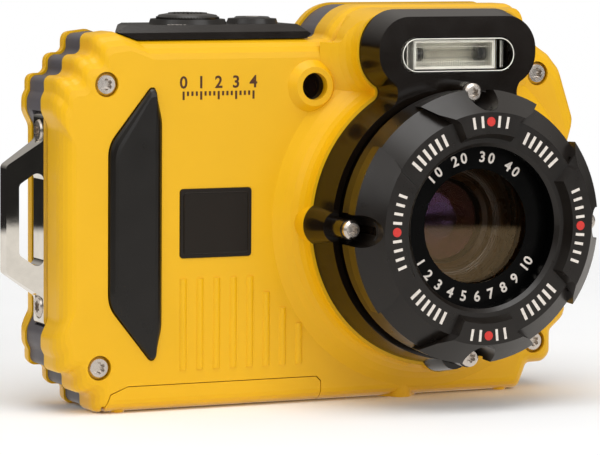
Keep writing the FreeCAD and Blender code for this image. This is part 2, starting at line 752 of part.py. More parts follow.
def screw(x, z, front, head_radius, head_height, shank_radius, length):
    """Screw driven from the front; front is the outer side of its head."""
    rim = 0.3 * head_height
    head = joined(taper(head_radius - rim, head_radius, front, front + rim, x, z),
                  disc(head_radius, front + rim, front + head_height, x, z))
    shank = disc(shank_radius, front + head_height, front + head_height + length, x, z)
    recess = lobed_recess(x, z, front, 0.56 * head_radius, 0.7 * head_height)
    return joined(head, shank).cut(recess)


def mirrored_back(shape, plane_y):
    """The same shape turned to face the back, about a plane."""
    return shape.mirror(V(0, plane_y, 0), Y_AXIS)


# Case

def door_prism(grow=0.0):
    """Space of the battery door and its knuckle, grown by the gap round them."""
    low = mm.case_bottom - 2.0
    outline = [(mm.hinge_x, low), (mm.door_right + grow, low),
               (mm.door_right + grow, mm.door_lip - 0.9 + grow), (mm.door_right - 0.9 + grow, mm.door_lip + grow),
               (mm.hinge_x + 2.9, mm.door_lip + grow), (mm.hinge_x - 0.3 - grow, mm.hinge_z + 2.25 + grow),
               (mm.hinge_x - 0.9 - grow, mm.hinge_z + 0.65)]
    start = mm.face_y - 1.0
    end = mm.back_y + 1.0
    knuckle = disc(mm.knuckle_radius + grow, start, end, mm.hinge_x, mm.hinge_z)
    return plate(outline, start, end).fuse([knuckle])


def door_sweep():
    """Space that the door and the underside beside its hinge turn through."""
    start = mm.face_y - 1.0
    end = mm.back_y + 1.0
    relief = disc(mm.hinge_relief, start, end, mm.hinge_x, mm.hinge_z)
    lower = cuboid(mm.hinge_x - 3.0, mm.hinge_x + 3.0, start, end, mm.case_bottom - 2.0, mm.hinge_z + 0.2)
    return door_prism(mm.door_gap).fuse([relief.common(lower)])


def case_front_block():
    """Front of the case with its rounded edge."""
    wires = edge_sections(mm.face_y, mm.edge_depth, mm.edge_inset, mm.top_edge_inset)
    wires.append(rounded_wire(case_outline(0.0), mm.band_front))
    return loft(wires)


def case_rear_block():
    """Rear of the case with its rounded edge."""
    wires = edge_sections(mm.back_y, -mm.rear_edge_depth, mm.rear_edge_inset, mm.rear_edge_inset)
    wires.append(rounded_wire(case_outline(0.0), mm.band_back))
    return loft(wires)


def flash_outline(grow, y):
    return stadium(mm.lens_x, mm.flash_z, mm.flash_half + grow, mm.flash_radius + grow, y)


def neck_spots():
    """Centres of the two hollows between the round housing and the flash housing."""
    across = mm.flash_half - mm.flash_radius
    up = mm.flash_z - mm.lens_z
    apart = math.hypot(across, up)
    from_flash = mm.flash_radius + mm.neck_fillet
    from_lens = mm.base_radius + mm.neck_fillet
    along_line = (from_lens ** 2 - from_flash ** 2 + apart ** 2) / (2 * apart)
    aside = math.sqrt(max(from_lens ** 2 - along_line ** 2, 0.0))
    x = (along_line * across + aside * up) / apart
    z = (along_line * up - aside * across) / apart
    return [(mm.lens_x - x, mm.lens_z + z), (mm.lens_x + x, mm.lens_z + z)]


def neck_web(shrink, growth, front, back):
    """Fills the neck under the flash housing; its hollows narrow towards the back."""
    across = mm.flash_half - mm.flash_radius
    left, right = neck_spots()
    web = plate([left, (mm.lens_x - across, mm.flash_z), (mm.lens_x + across, mm.flash_z), right,
                 (mm.lens_x, mm.lens_z)], front, back)
    radius = mm.neck_fillet - shrink
    return web.cut([taper(radius, radius - growth, front, back, x, z) for x, z in (left, right)])


def raised_ground():
    """Ground that carries the lens housing, with a soft foot on the face."""
    steps = 6
    rings = []
    humps = []
    for step in range(steps + 1):
        share = step / steps
        y = mm.island_y + share * mm.island_depth
        flare = mm.island_flare * share ** 2.4
        rings.append(Part.Wire(Part.makeCircle(mm.island_radius + flare, V(mm.lens_x, y, mm.lens_z), Y_AXIS)))
        humps.append(flash_outline(mm.base_draft + 0.4 + flare, y))
    roof = loft([flash_outline(mm.base_draft + 0.4, mm.island_y), flash_outline(3.0, mm.band_front)])
    lobe = mm.lobe_radius + mm.base_draft + 0.1
    lobes = [disc(lobe, mm.island_y, mm.face_y + 1.0, x, z) for x, z in post_spots()]
    web = neck_web(mm.base_draft + 0.4, 0.0, mm.island_y, mm.face_y + 1.0)
    ground = loft(rings).fuse([loft(humps), roof, web] + lobes)
    limit = loft([rounded_wire(case_outline(mm.hump_slope), mm.island_y),
                  rounded_wire(case_outline(0.0), mm.band_front)])
    return ground.common(limit)


def grip_outline(grow=0.0):
    """Long pointed inlay; slanted ends on the outer side."""
    left = mm.grip_left - grow
    right = mm.grip_right + grow
    top = mm.grip_top + grow
    bottom = mm.grip_bottom - grow
    return [(left, bottom + mm.grip_shoulder, 6.0), (left, top - mm.grip_shoulder, 6.0),
            (mm.grip_tip - 0.6, top, 0.9), (mm.grip_tip + 0.4, top, 0.9),
            (right, top - 6.0, 8.0), (right, bottom + 6.0, 8.0),
            (mm.grip_tip + 0.4, bottom, 0.9), (mm.grip_tip - 0.6, bottom, 0.9)]


def badge_corners(grow):
    across = mm.badge_width / 2 + grow
    up = mm.badge_height / 2 + grow
    return [(mm.badge_x - across, mm.badge_z - up, 0.7), (mm.badge_x - across, mm.badge_z + up, 0.7),
            (mm.badge_x + across, mm.badge_z + up, 0.7), (mm.badge_x + across, mm.badge_z - up, 0.7)]


def face_ribs():
    """Raised ribs on the front face; the last ones get shorter."""
    ribs = []
    tops = [mm.rib_top] * int(mm.long_ribs)
    tops += [mm.rib_top - mm.rib_fall * (number + 1) for number in range(int(mm.short_ribs))]
    for number, top in enumerate(tops):
        x = mm.rib_first + number * mm.rib_pitch
        y = mm.face_y + mm.rib_radius - mm.rib_proud
        ribs.append(Part.makeCylinder(mm.rib_radius, top - mm.rib_bottom, V(x, y, mm.rib_bottom), Z_AXIS))
    return ribs


def tripod_boss(grow=0.0):
    """Boss round the tripod socket, level with the ground, and its foot at the face."""
    boss = Part.makeCylinder(mm.boss_radius + grow, mm.cavity_floor + 0.4, V(0, 0, 0), Z_AXIS)
    foot_y = mm.face_y + mm.boss_foot_radius
    foot = Part.makeCylinder(mm.boss_foot_radius, mm.boss_foot_height, V(0, foot_y, 0), Z_AXIS)
    return boss.fuse([foot])


def tab_spots():
    """Heights of the two strap bar screws."""
    reach = mm.bar_half_height - mm.bar_screw_inset
    return [mm.bar_mid_z - reach, mm.bar_mid_z + reach]


def small_foot(x, y):
    return Part.makeCone(mm.foot_radius, mm.foot_radius + 0.3, mm.case_bottom + 0.4, V(x, y, 0), Z_AXIS)


FOOT_INSET = 3.0


def holder_opening():
    gap = mm.door_gap
    return cuboid(mm.holder_left - gap, mm.holder_right + mm.usb_thickness + gap, mm.holder_front - gap,
                  mm.holder_back + gap, mm.door_lip - 1.0, mm.cavity_floor + 1.0)


def control_holes(radius_gap):
    """Stem holes of the two top buttons."""
    return [Part.makeCylinder(radius, 12, V(x, mm.control_y, mm.inside_top - 4), Z_AXIS)
            for x, radius in ((mm.shutter_x, 1.6 + radius_gap), (mm.power_x, 1.2 + radius_gap))]


def flash_room(front, back, grow=0.0):
    """Room for the flash and its capacitor."""
    return cuboid(mm.lens_x - 13.5 - grow, mm.lens_x + 13.5 + grow, front, back,
                  mm.flash_z - 5.0 - grow, mm.flash_z + 4.8 + grow)


def front_shell_shape():
    collar = taper(mm.lamp_collar_radius - 0.7, mm.lamp_collar_radius + 0.5,
                   mm.face_y - mm.lamp_collar_height, mm.face_y, mm.lamp_x, mm.lamp_z)
    outer = case_front_block().fuse([raised_ground(), collar] + face_ribs())
    foot_y = mm.face_y + FOOT_INSET
    outer = outer.fuse([small_foot(mm.screw_right_x - 6.0, foot_y)])
    inside = plate(cavity_outline(), mm.inside_front, mm.band_front + 1.0)
    tools = [inside, disc(mm.island_bore, mm.island_y - 1.0, mm.inside_front + 1.0, mm.lens_x, mm.lens_z),
             flash_room(mm.island_y - 1.0, mm.band_front + 1.0)]
    seal = plate(cavity_outline(1.2), mm.band_front - mm.seal_thickness, mm.band_front + 1.0)
    seal = seal.cut(plate(cavity_outline(0.4), mm.band_front - 2.0, mm.band_front + 2.0))
    tools.append(seal.cut(flash_room(mm.band_front - 2.0, mm.band_front + 2.0, 0.8)))
    tools.append(lens_turned([(mm.gasket_radius, mm.island_y - 1.0),
                              (mm.gasket_radius + mm.gasket_width, mm.island_y - 1.0),
                              (mm.gasket_radius + mm.gasket_width, mm.island_y + mm.seal_thickness),
                              (mm.gasket_radius, mm.island_y + mm.seal_thickness)]))
    tools.append(prism(grip_outline(mm.door_gap), mm.face_y - 2.0, mm.face_y + mm.grip_seat))
    tools.append(prism(badge_corners(0.1), mm.face_y - 1.0, mm.face_y + mm.badge_seat))
    for x, z in screw_spots():
        sink = mm.face_y + mm.screw_sink + mm.screw_head_height
        tools.append(disc(mm.screw_head_radius + 0.2, mm.face_y - 4.0, sink, x, z))
        tools.append(disc(mm.screw_shank_radius + 0.1, sink - 0.1, mm.band_front + 1.0, x, z))
    for x, z in post_spots():
        tools.append(disc(0.9, mm.island_y - 1.0, mm.island_y + 4.0, x, z))
    lamp_seat = mm.face_y + 1.0
    tools.append(disc(mm.lamp_radius + 0.05, mm.face_y - 3.0, lamp_seat, mm.lamp_x, mm.lamp_z))
    tools.append(disc(mm.lamp_radius - 0.7, lamp_seat - 0.1, mm.inside_front + 1.0, mm.lamp_x, mm.lamp_z))
    tools += [door_sweep(), holder_opening()]
    shell = outer.cut(tools)
    boss = tripod_boss().common(cuboid(-9, 9, -9, mm.band_front, -1, 20))
    shell = shell.fuse([boss])
    return shell.cut([Part.makeCylinder(mm.bush_radius, mm.bush_height, V(0, 0, 0), Z_AXIS)])


feature("front_shell", front_shell_shape())


def band_shape():
    outer = prism(case_outline(mm.band_inset), mm.band_front, mm.band_back)
    inside = plate(cavity_outline(), mm.band_front - 1.0, mm.band_back + 1.0)
    bar_back = mm.spine_y + mm.bar_depth / 2 + 0.1
    bosses = [cuboid(mm.bar_tab_x, mm.inside_left + 3.6, mm.band_front, bar_back, z - 2.2, z + 2.2)
              for z in tab_spots()]
    inside = inside.cut(bosses)
    tools = [inside, flash_room(mm.band_front - 1.0, mm.band_back + 1.0), holder_opening()]
    tools += [door_sweep()] + control_holes(0.3)
    bar_half = mm.bar_half_height + mm.door_gap
    tools.append(cuboid(mm.case_left - 1.0, mm.bar_tab_x, mm.band_front - 1.0, bar_back,
                        mm.bar_mid_z - bar_half, mm.bar_mid_z + bar_half))
    band = outer.cut(tools)
    middle = mm.spine_y
    lug_front = middle - mm.lug_depth / 2
    lug = disc(1.0, lug_front, lug_front + mm.lug_depth, mm.hinge_x, mm.hinge_z)
    web = cuboid(mm.hinge_x - 0.95, mm.hinge_x + 0.3, lug_front, lug_front + mm.lug_depth,
                 mm.hinge_z, mm.hinge_z + 3.2)
    boss = tripod_boss().common(cuboid(-9, 9, mm.band_front, mm.band_back, -1, 20))
    band = band.fuse([lug, web, boss])
    tongue_half = mm.tongue_width / 2 + 0.3
    tongue = cuboid(mm.door_right - 1.0, mm.door_right + mm.lock_travel + 0.6, middle - tongue_half,
                    middle + tongue_half, mm.case_bottom + 0.3, mm.case_bottom + 1.7)
    holes = [disc(mm.hinge_pin_radius, mm.band_front - 1, mm.band_back + 1, mm.hinge_x, mm.hinge_z),
             Part.makeCylinder(mm.bush_radius, mm.bush_height, V(0, 0, 0), Z_AXIS), tongue]
    for x, z in screw_spots():
        holes.append(disc(mm.screw_shank_radius, mm.band_front - 1, mm.band_back + 1, x, z))
    holes += [Part.makeCylinder(mm.screw_shank_radius, 6.5, V(mm.bar_tab_x - 1.0, middle, z), X_AXIS)
              for z in tab_spots()]
    return band.cut(holes)


feature("mid_band", band_shape())


def gasket_shape(start, end):
    """Flat loop between the band and a shell."""
    gasket = plate(cavity_outline(1.1), start, end)
    gasket = gasket.cut(plate(cavity_outline(0.5), start - 1.0, end + 1.0))
    return gasket.cut([flash_room(start - 1.0, end + 1.0, 0.9), holder_opening(), tripod_boss(0.1)])


feature("front_gasket", gasket_shape(mm.band_front - mm.seal_thickness, mm.band_front))
feature("rear_gasket", gasket_shape(mm.band_back, mm.band_back + mm.seal_thickness))


def key_spots():
    return [(mm.keys_x - mm.key_offset, mm.key_upper_z), (mm.keys_x + mm.key_offset, mm.key_upper_z),
            (mm.keys_x - mm.key_offset, mm.key_lower_z), (mm.keys_x + mm.key_offset, mm.key_lower_z)]


def display_corners(shrink):
    across = mm.display_width / 2 - shrink
    up = mm.display_height / 2 - shrink
    return [(mm.display_x - across, mm.display_z - up, 1.5), (mm.display_x - across, mm.display_z + up, 1.5),
            (mm.display_x + across, mm.display_z + up, 1.5), (mm.display_x + across, mm.display_z - up, 1.5)]


def rear_shell_shape():
    outer = case_rear_block()
    foot_y = mm.back_y - FOOT_INSET
    outer = outer.fuse([small_foot(mm.screw_right_x - 6.0, foot_y)])
    inside = plate(cavity_outline(), mm.band_back - 1.0, mm.inside_back)
    tools = [inside, flash_room(mm.band_back - 1.0, mm.inside_back)]
    seal = plate(cavity_outline(1.2), mm.band_back - 1.0, mm.band_back + mm.seal_thickness)
    seal = seal.cut(plate(cavity_outline(0.4), mm.band_back - 2.0, mm.band_back + 2.0))
    tools.append(seal.cut(flash_room(mm.band_back - 2.0, mm.band_back + 2.0, 0.8)))
    glass_seat = mm.back_y + mm.display_proud - mm.display_glass
    tools.append(prism(display_corners(-0.1), glass_seat, mm.back_y + 2.0))
    tools.append(prism(display_corners(1.5), mm.inside_back - 1.0, glass_seat + 1.0))
    for x, z in key_spots():
        tools.append(disc(mm.key_radius + mm.key_gap, mm.inside_back - 1.0, mm.back_y + 1.0, x, z))
    tools.append(disc(mm.pad_radius + 0.3, mm.inside_back - 1.0, mm.back_y + 1.0, mm.keys_x, mm.pad_z))
    rocker = Part.Face(stadium(mm.keys_x, mm.rocker_z, mm.rocker_half + 0.3, mm.rocker_radius + 0.2,
                               mm.inside_back - 1.0))
    tools.append(rocker.extrude(V(0, mm.case_wall + 3.0, 0)))
    for x, z in screw_spots():
        sink = mm.back_y - mm.screw_sink - mm.screw_head_height
        tools.append(disc(mm.screw_head_radius + 0.2, sink, mm.back_y + 4.0, x, z))
        tools.append(disc(mm.screw_shank_radius + 0.1, mm.band_back - 1.0, sink + 0.1, x, z))
    tools += [door_sweep(), holder_opening()]
    return outer.cut(tools)


feature("rear_shell", rear_shell_shape())


def grip_shape():
    """Inlay with a crowned front."""
    steps = 4
    wires = [rounded_wire(grip_outline(), mm.face_y + mm.grip_seat)]
    for step in range(steps + 1):
        angle = math.radians(90 * step / steps)
        y = mm.face_y - mm.grip_proud * math.sin(angle)
        wires.append(rounded_wire(grip_outline(-1.5 * (1 - math.cos(angle))), y))
    return loft(wires)


feature("grip_inlay", grip_shape())

badge = slab("badge_plate", rectangle("badge_x - badge_width / 2", "badge_z - badge_height / 2",
                                      "badge_width", "badge_height"),
             "XZ_Plane", "-(face_y + badge_seat)", "badge_thickness")
rounded(badge, "0.6", along(Y_AXIS))


def case_screws(kept, outer, direction):
    """Four case screws as one set of separate solids."""
    screws = [screw(x, z, mm.face_y + mm.screw_sink, mm.screw_head_radius, mm.screw_head_height,
                    mm.screw_shank_radius, mm.screw_length) for x, z in screw_spots()]
    if direction > 0:
        middle = (mm.face_y + mm.back_y) / 2
        screws = [mirrored_back(item, middle) for item in screws]
    return feature(kept, Part.makeCompound(screws))


case_screws("front_screws", mm.face_y, -1)
case_screws("rear_screws", mm.back_y, 1)

# Lens housing and ring

def lens_base_shape():
    front = mm.base_front
    body = taper(mm.base_radius, mm.base_radius + mm.base_draft, front, mm.island_y, mm.lens_x, mm.lens_z)
    flash = loft([flash_outline(0.0, front), flash_outline(mm.base_draft, mm.island_y)])
    lobes = [taper(mm.lobe_radius, mm.lobe_radius + mm.base_draft, front, mm.island_y, x, z)
             for x, z in post_spots()]
    posts = [disc(mm.post_radius, mm.post_top, front + 2.0, x, z) for x, z in post_spots()]
    tube = lens_turned([(mm.ledge_bore, -mm.ledge_front), (mm.tube_bore, -mm.ledge_front),
                        (mm.tube_bore, -mm.tube_front), (mm.tube_radius, -mm.tube_front),
                        (mm.tube_radius, -mm.ring_back), (mm.neck_radius, -mm.ring_back),
                        (mm.neck_radius, mm.island_y), (mm.tube_bore, mm.island_y),
                        (mm.tube_bore, mm.ledge_depth - mm.ledge_front),
                        (mm.ledge_bore, mm.ledge_depth - mm.ledge_front)])
    outside = body.fuse([flash, neck_web(0.0, mm.base_draft, front, mm.island_y)] + lobes)
    outside = outside.cut(disc(mm.tube_bore, front - 1.0, mm.island_y + 1.0, mm.lens_x, mm.lens_z))
    groove = lens_turned([(mm.neck_radius, front - 1.0), (mm.base_radius - 1.2, front - 1.0),
                          (mm.base_radius - 1.2, front + mm.base_groove), (mm.neck_radius, front + mm.base_groove)])
    outside = outside.cut(groove).fuse([tube] + posts)
    room = Part.Face(stadium(mm.lens_x, mm.flash_window_z, mm.flash_window_half + 0.1,
                             mm.flash_window_radius + 0.1, front - 1.0)).extrude(V(0, 2.5, 0))
    box = cuboid(mm.lens_x - 11.0, mm.lens_x + 11.0, front + 1.0, mm.island_y + 1.0,
                 mm.flash_window_z - 2.9, mm.flash_window_z + 2.9)
    holes = [disc(0.8, mm.post_top - 1.0, mm.island_y + 1.0, x, z) for x, z in post_spots()]
    return outside.cut([room, box] + holes)


feature("lens_base", lens_base_shape())


turned("housing_gasket", [("gasket_radius", "-island_y"), ("gasket_radius + gasket_width", "-island_y"),
                          ("gasket_radius + gasket_width", "-island_y - seal_thickness"),
                          ("gasket_radius", "-island_y - seal_thickness")],
       x="lens_x", z="lens_z", turn=FORWARD)


# Corners of the room between two pads: radius, and degrees from the vertical
RING_SECTOR = ((14.9, 15.0), (20.0, 17.0), (27.5, 29.0), (27.5, 54.0), (20.0, 60.0), (14.9, 64.0))
RING_LEAN = 2.5


def ring_sector(side, end):
    """Room between two pads of the lens ring; the pads' flanks lean."""
    middle = (RING_SECTOR[0][1] + RING_SECTOR[-1][1]) / 2
    front = -mm.ring_front - 0.4
    floor = -mm.ring_front + mm.ring_step
    wires = []
    corners = []
    for y, lean in ((front, 0.0), (floor, RING_LEAN)):
        corners = []
        for reach, degrees in RING_SECTOR:
            angle = math.radians(degrees + math.copysign(lean, middle - degrees))
            corners.append((mm.lens_x + side * reach * math.sin(angle), mm.lens_z + end * reach * math.cos(angle)))
        spots = [V(x, y, z) for x, z in corners]
        wires.append(Part.makePolygon(spots + spots[:1]))
    return Part.makeLoft(wires, True, True).fuse([plate(corners, floor, -mm.ring_back)])


def lens_ring_shape():
    """Ring with a flat inner face and four raised pads, notched round the screw posts."""
    face = -mm.ring_front
    low = face + mm.ring_step
    edge = mm.ring_radius
    back = -mm.ring_back
    inner_back = -(mm.tube_front + mm.ring_gap)
    bore = mm.tube_radius + mm.ring_gap
    skirt = -(mm.retainer_front + mm.ring_gap)
    low_profile = [(bore, back), (mm.ring_back_radius, back),
                   (edge - mm.ring_step_in, low + mm.ring_slope_depth - 1.0),
                   (mm.ring_face_radius - mm.ring_step_in, low), (mm.ring_mouth_radius, low),
                   (mm.ring_lip_radius, low + mm.ring_lip_depth), (mm.ring_lip_radius, skirt),
                   (mm.ring_lip_radius + 1.8, skirt), (mm.ring_lip_radius + 1.8, inner_back), (bore, inner_back)]
    pad_back = face + mm.ring_slope_depth + 3.0
    pad_profile = [(mm.ring_pad_radius - mm.ring_pad_flank, low), (mm.ring_pad_radius, face),
                   (mm.ring_face_radius, face), (edge, face + mm.ring_slope_depth), (edge - 0.15, pad_back),
                   (bore + 0.5, pad_back), (bore + 0.5, inner_back - 0.5),
                   (mm.ring_pad_radius - mm.ring_pad_flank, inner_back - 0.5)]
    sectors = [ring_sector(side, end) for side in (-1, 1) for end in (-1, 1)]
    ring = lens_turned(low_profile).fuse([lens_turned(pad_profile).cut(sectors)])
    notches = [disc(mm.ring_notch, face - 1.0, back + 1.0, x, z) for x, z in post_spots()]
    return ring.cut(notches)


feature("lens_ring", lens_ring_shape())
feature("ring_screws", Part.makeCompound(
    [screw(x, z, mm.post_top - 1.4, 1.7, 1.4, 0.75, mm.post_height + mm.base_depth + 2.5)
     for x, z in post_spots()]))

LENS = {"x": "lens_x", "z": "lens_z", "turn": FORWARD}
turned("lens_window", [("0", "seal_front"), ("window_radius", "seal_front"),
                       ("window_radius", "glass_front"), ("0", "glass_front")], **LENS)
turned("window_seal", [("ledge_bore + 0.4", "ledge_front"), ("window_radius", "ledge_front"),
                       ("window_radius", "seal_front"), ("ledge_bore + 0.4", "seal_front")], **LENS)
turned("window_retainer", [("window_clear_radius + 0.5", "glass_front"), ("window_radius", "glass_front"),
                           ("window_radius", "retainer_front"), ("window_clear_radius", "retainer_front"),
                           ("window_clear_radius", "retainer_front - 0.3")], **LENS)

# Lens unit

turned("lens_tube", [("barrel_radius - barrel_wall", "-flange_back"), ("barrel_radius + 2.2", "-flange_back"),
                     ("barrel_radius + 2.2", "-flange_y"), ("barrel_radius", "-flange_y"),
                     ("barrel_radius", "barrel_front"), ("cam_radius - barrel_wall + 0.1", "barrel_front"),
                     ("cam_radius - barrel_wall + 0.1", "barrel_front - 0.8"),
                     ("barrel_radius - barrel_wall", "barrel_front - 0.8")], **LENS)
flange = new_sketch(doc.lens_tube, "XY_Plane", "-flange_back")
draw_polygon(flange, rectangle("-flange_size / 2", "-flange_size / 2", "flange_size", "flange_size"))
draw_circle(flange, "barrel_radius + 1.0")
pad(doc.lens_tube, flange, "flange_thickness")

turned("cam_ring", [("cam_radius - barrel_wall", "-(flange_y - 1.0)"), ("cam_radius", "-(flange_y - 1.0)"),
                    ("cam_radius", "barrel_front - 1.1"), ("cam_radius - barrel_wall", "barrel_front - 1.1")],
       **LENS)
turned("zoom_barrel", [("zoom_radius - barrel_wall", "-3"), ("zoom_radius", "-3"),
                       ("zoom_radius", "barrel_front - 2.6"), ("front_radius + 0.25", "barrel_front - 2.6"),
                       ("front_radius + 0.25", "barrel_front - 3.6"),
                       ("zoom_radius - barrel_wall", "barrel_front - 3.6")], **LENS)
turned("front_barrel", [("front_radius - barrel_wall", "0"), ("front_radius", "0"),
                        ("front_radius", "front_barrel_front"),
                        ("front_lens_radius + 2.2", "front_barrel_front"),
                        ("front_lens_radius + 1.6", "front_barrel_front - 0.7"),
                        ("front_lens_radius + 0.9", "front_barrel_front - 0.7"),
                        ("front_lens_radius + 0.1", "front_barrel_front - 1.4"),
                        ("front_lens_radius + 0.1", "front_barrel_front - 3.4"),
                        ("front_lens_radius - 0.8", "front_barrel_front - 3.4"),
                        ("front_lens_radius - 0.8", "front_barrel_front - 4.2"),
                        ("front_radius - barrel_wall", "front_barrel_front - 4.2")], **LENS)


def lens_element_shape():
    """Domed glass element that rests on the inner ledge of the inner barrel."""
    seat = mm.front_barrel_front - 3.4
    rim = seat + mm.front_lens_edge
    crown = seat + mm.front_lens_thickness
    top = V(0, 0, crown)
    edge = V(mm.front_lens_radius, 0, rim)
    half_angle = math.atan2(crown - rim, mm.front_lens_radius)
    reach = mm.front_lens_radius / math.sin(2 * half_angle)
    centre_z = crown - reach
    middle = V(reach * math.sin(half_angle), 0, centre_z + reach * math.cos(half_angle))
    profile = Part.Wire([Part.Arc(top, middle, edge).toShape(),
                         Part.makeLine(edge, V(mm.front_lens_radius, 0, seat)),
                         Part.makeLine(V(mm.front_lens_radius, 0, seat), V(0, 0, seat)),
                         Part.makeLine(V(0, 0, seat), top)])
    solid = Part.Face(profile).revolve(V(0, 0, 0), Z_AXIS, 360)
    solid.Placement = FreeCAD.Placement(V(mm.lens_x, 0, mm.lens_z), FreeCAD.Rotation(*FORWARD))
    return solid


feature("front_lens", lens_element_shape())

sensor = slab("sensor_unit", rectangle("lens_x - 13", "lens_z - 11", "26", "22"), "XZ_Plane",
              "-(board_front - 0.1)", "board_front - 0.1 - flange_back")
rounded(sensor, "1", along(Y_AXIS))
node(rod("zoom_motor", "motor_radius", "motor_length", "lens_x - barrel_radius - 0.3 * motor_radius",
         "flange_y", "lens_z - flange_size / 2 + motor_radius", FORWARD), "zoom_motor")

# Flash and lamp

flash_glass = Part.Face(stadium(mm.lens_x, mm.flash_window_z, mm.flash_window_half, mm.flash_window_radius,
                                mm.base_front - 0.2)).extrude(V(0, 1.7, 0))
feature("flash_window", flash_glass)
reflector = slab("flash_reflector", rectangle("lens_x - reflector_half", "flash_window_z - 2.7",
                                              "2 * reflector_half", "5.4"),
                 "XZ_Plane", "-(base_front + 6.2)", "4.6")
trough = new_sketch(reflector, "YZ_Plane", "lens_x + reflector_half - reflector_wall")
draw_polygon(trough, [("base_front + 1", "flash_window_z - 2.2"), ("base_front + 1", "flash_window_z + 2.2"),
                      ("base_front + 3.6", "flash_window_z + 2"), ("base_front + 5.4", "flash_window_z + 1"),
                      ("base_front + 5.4", "flash_window_z - 1"), ("base_front + 3.6", "flash_window_z - 2")])
pocket(reflector, trough, "2 * (reflector_half - reflector_wall)")
node(rod("flash_tube", "flash_tube_radius", "2 * (reflector_half - reflector_wall - 0.1)",
         "lens_x - reflector_half + reflector_wall + 0.1", "base_front + 4.2", "flash_window_z", SIDEWAYS),
     "flash_tube")
node(rod("flash_capacitor", "capacitor_radius", "capacitor_length", "lens_x - capacitor_length / 2",
         "inside_front + capacitor_radius + 0.3", "flash_z - 0.3", SIDEWAYS), "flash_capacitor")
node(rod("lamp_window", "lamp_radius", "0.8", "lamp_x", "face_y + 0.2", "lamp_z", BACKWARD), "lamp_window")
led = block("led_base", "lamp_x - 2.2", "inside_front + 0.1", "lamp_z - 2.2", "4.4", "1.6", "4.4")
led_dome = rod("led_dome", "1.4", "0.9", "lamp_x", "inside_front + 0.4", "lamp_z", FORWARD)
node(fuse("lamp_led", led, led_dome), "lamp_led")

# Strap bar

def bar_corners():
    """Outline of the strap bar: a straight back on the band, slants and a grip."""
    knee = "bar_half_height - bar_tab"
    elbow = "bar_half_height - bar_tab - bar_slant"
    outer = [("bar_tab_x", "bar_half_height"), ("bar_face", "bar_half_height"),
             ("bar_face", knee), ("bar_outer", elbow)]
    upper = [(x, f"bar_mid_z + ({z})") for x, z in outer]
    return upper + [(x, f"bar_mid_z - ({z})") for x, z in reversed(outer)]


def bar_opening():
    """Outline of the opening between the grip and the back of the strap bar."""
    elbow = "bar_half_height - bar_tab - bar_slant - bar_bend"
    inner = [("bar_outer + bar_thickness", elbow), ("bar_face", "bar_half_height - bar_root")]
    upper = [(x, f"bar_mid_z + ({z})") for x, z in inner]
    return upper + [(x, f"bar_mid_z - ({z})") for x, z in reversed(inner)]


bar = slab("strap_bar", bar_corners(), "XZ_Plane", "-(spine_y + bar_depth / 2)", "bar_depth")
opening = new_sketch(bar, "XZ_Plane", "-(spine_y - bar_depth / 2)")
draw_polygon(opening, bar_opening())
pocket(bar, opening, "bar_depth")
rounded(bar, "1.1", lambda edge: along(Y_AXIS)(edge) and edge.CenterOfMass.x < mm.bar_tab_x - 0.2)
wedge = new_sketch(bar, "XY_Plane", "bar_mid_z + bar_half_height + 1")
draw_polygon(wedge, [("bar_face", "spine_y - bar_depth / 2"), ("bar_face", "spine_y - bar_depth / 2 - 1"),
                     ("bar_outer - 1", "spine_y - bar_depth / 2 - 1"),
                     ("bar_outer - 1", "spine_y - bar_depth / 2 + bar_front_slope")])
pocket(bar, wedge, "2 * bar_half_height + 2")
for sign in ("+", "-"):
    for radius, plane in (("screw_shank_radius + 0.1", "bar_tab_x"),
                          ("bar_screw_radius + 0.15", "bar_face + bar_screw_sink")):
        hole = new_sketch(bar, "YZ_Plane", plane)
        draw_circle(hole, radius, "spine_y", f"bar_mid_z {sign} (bar_half_height - bar_screw_inset)")
        pocket(bar, hole, "tab_thickness + 1")


def strap_screws_shape():
    """Two screws that hold the bar, with their heads outside."""
    screws = []
    for z in tab_spots():
        item = screw(0, 0, 0, mm.bar_screw_radius, mm.bar_screw_head, mm.screw_shank_radius, 5.0)
        spot = V(mm.bar_face + mm.bar_screw_sink - mm.bar_screw_head, mm.spine_y, z)
        item.Placement = FreeCAD.Placement(spot, FreeCAD.Rotation(Z_AXIS, -90))
        screws.append(item)
    return Part.makeCompound(screws)


feature("strap_screws", strap_screws_shape())

# Top controls

panel = slab("top_panel", [("panel_left + panel_slant", "panel_seat + 0.05"), ("panel_left + 0.4", "case_top - 0.1"),
                           ("panel_left + panel_slant - 1.4", "panel_top"), ("panel_right - 2.2", "panel_top"),
                           ("panel_right", "panel_seat + 0.8"), ("panel_right - 0.8", "panel_seat + 0.05")],
             "XZ_Plane", "-panel_back", "panel_back - panel_front")
rounded(panel, "panel_bevel", lambda edge: along(X_AXIS)(edge) and edge.CenterOfMass.z > mm.panel_top - 0.1,
        "Chamfer")
rake = new_sketch(panel, "XY_Plane", "panel_top + 1")
draw_polygon(rake, [("panel_left - 1", "panel_front"), ("panel_left", "panel_front"),
                    ("panel_left + panel_rake", "panel_back"), ("panel_left - 1", "panel_back")])
pocket(panel, rake, "panel_top - panel_seat + 2")
for x, radius, stem, floor in (("shutter_x", "shutter_radius + 0.3", "1.9", "panel_top - shutter_travel - 0.4"),
                               ("power_x", "power_radius + 0.3", "1.5", "panel_top - power_travel - 0.7")):
    seat = new_sketch(panel, "XY_Plane", "panel_top")
    draw_circle(seat, radius, x, "control_y")
    pocket(panel, seat, f"panel_top - ({floor})")
    stem_hole = new_sketch(panel, "XY_Plane", "panel_top")
    draw_circle(stem_hole, stem, x, "control_y")
    pocket(panel, stem_hole, "panel_top")

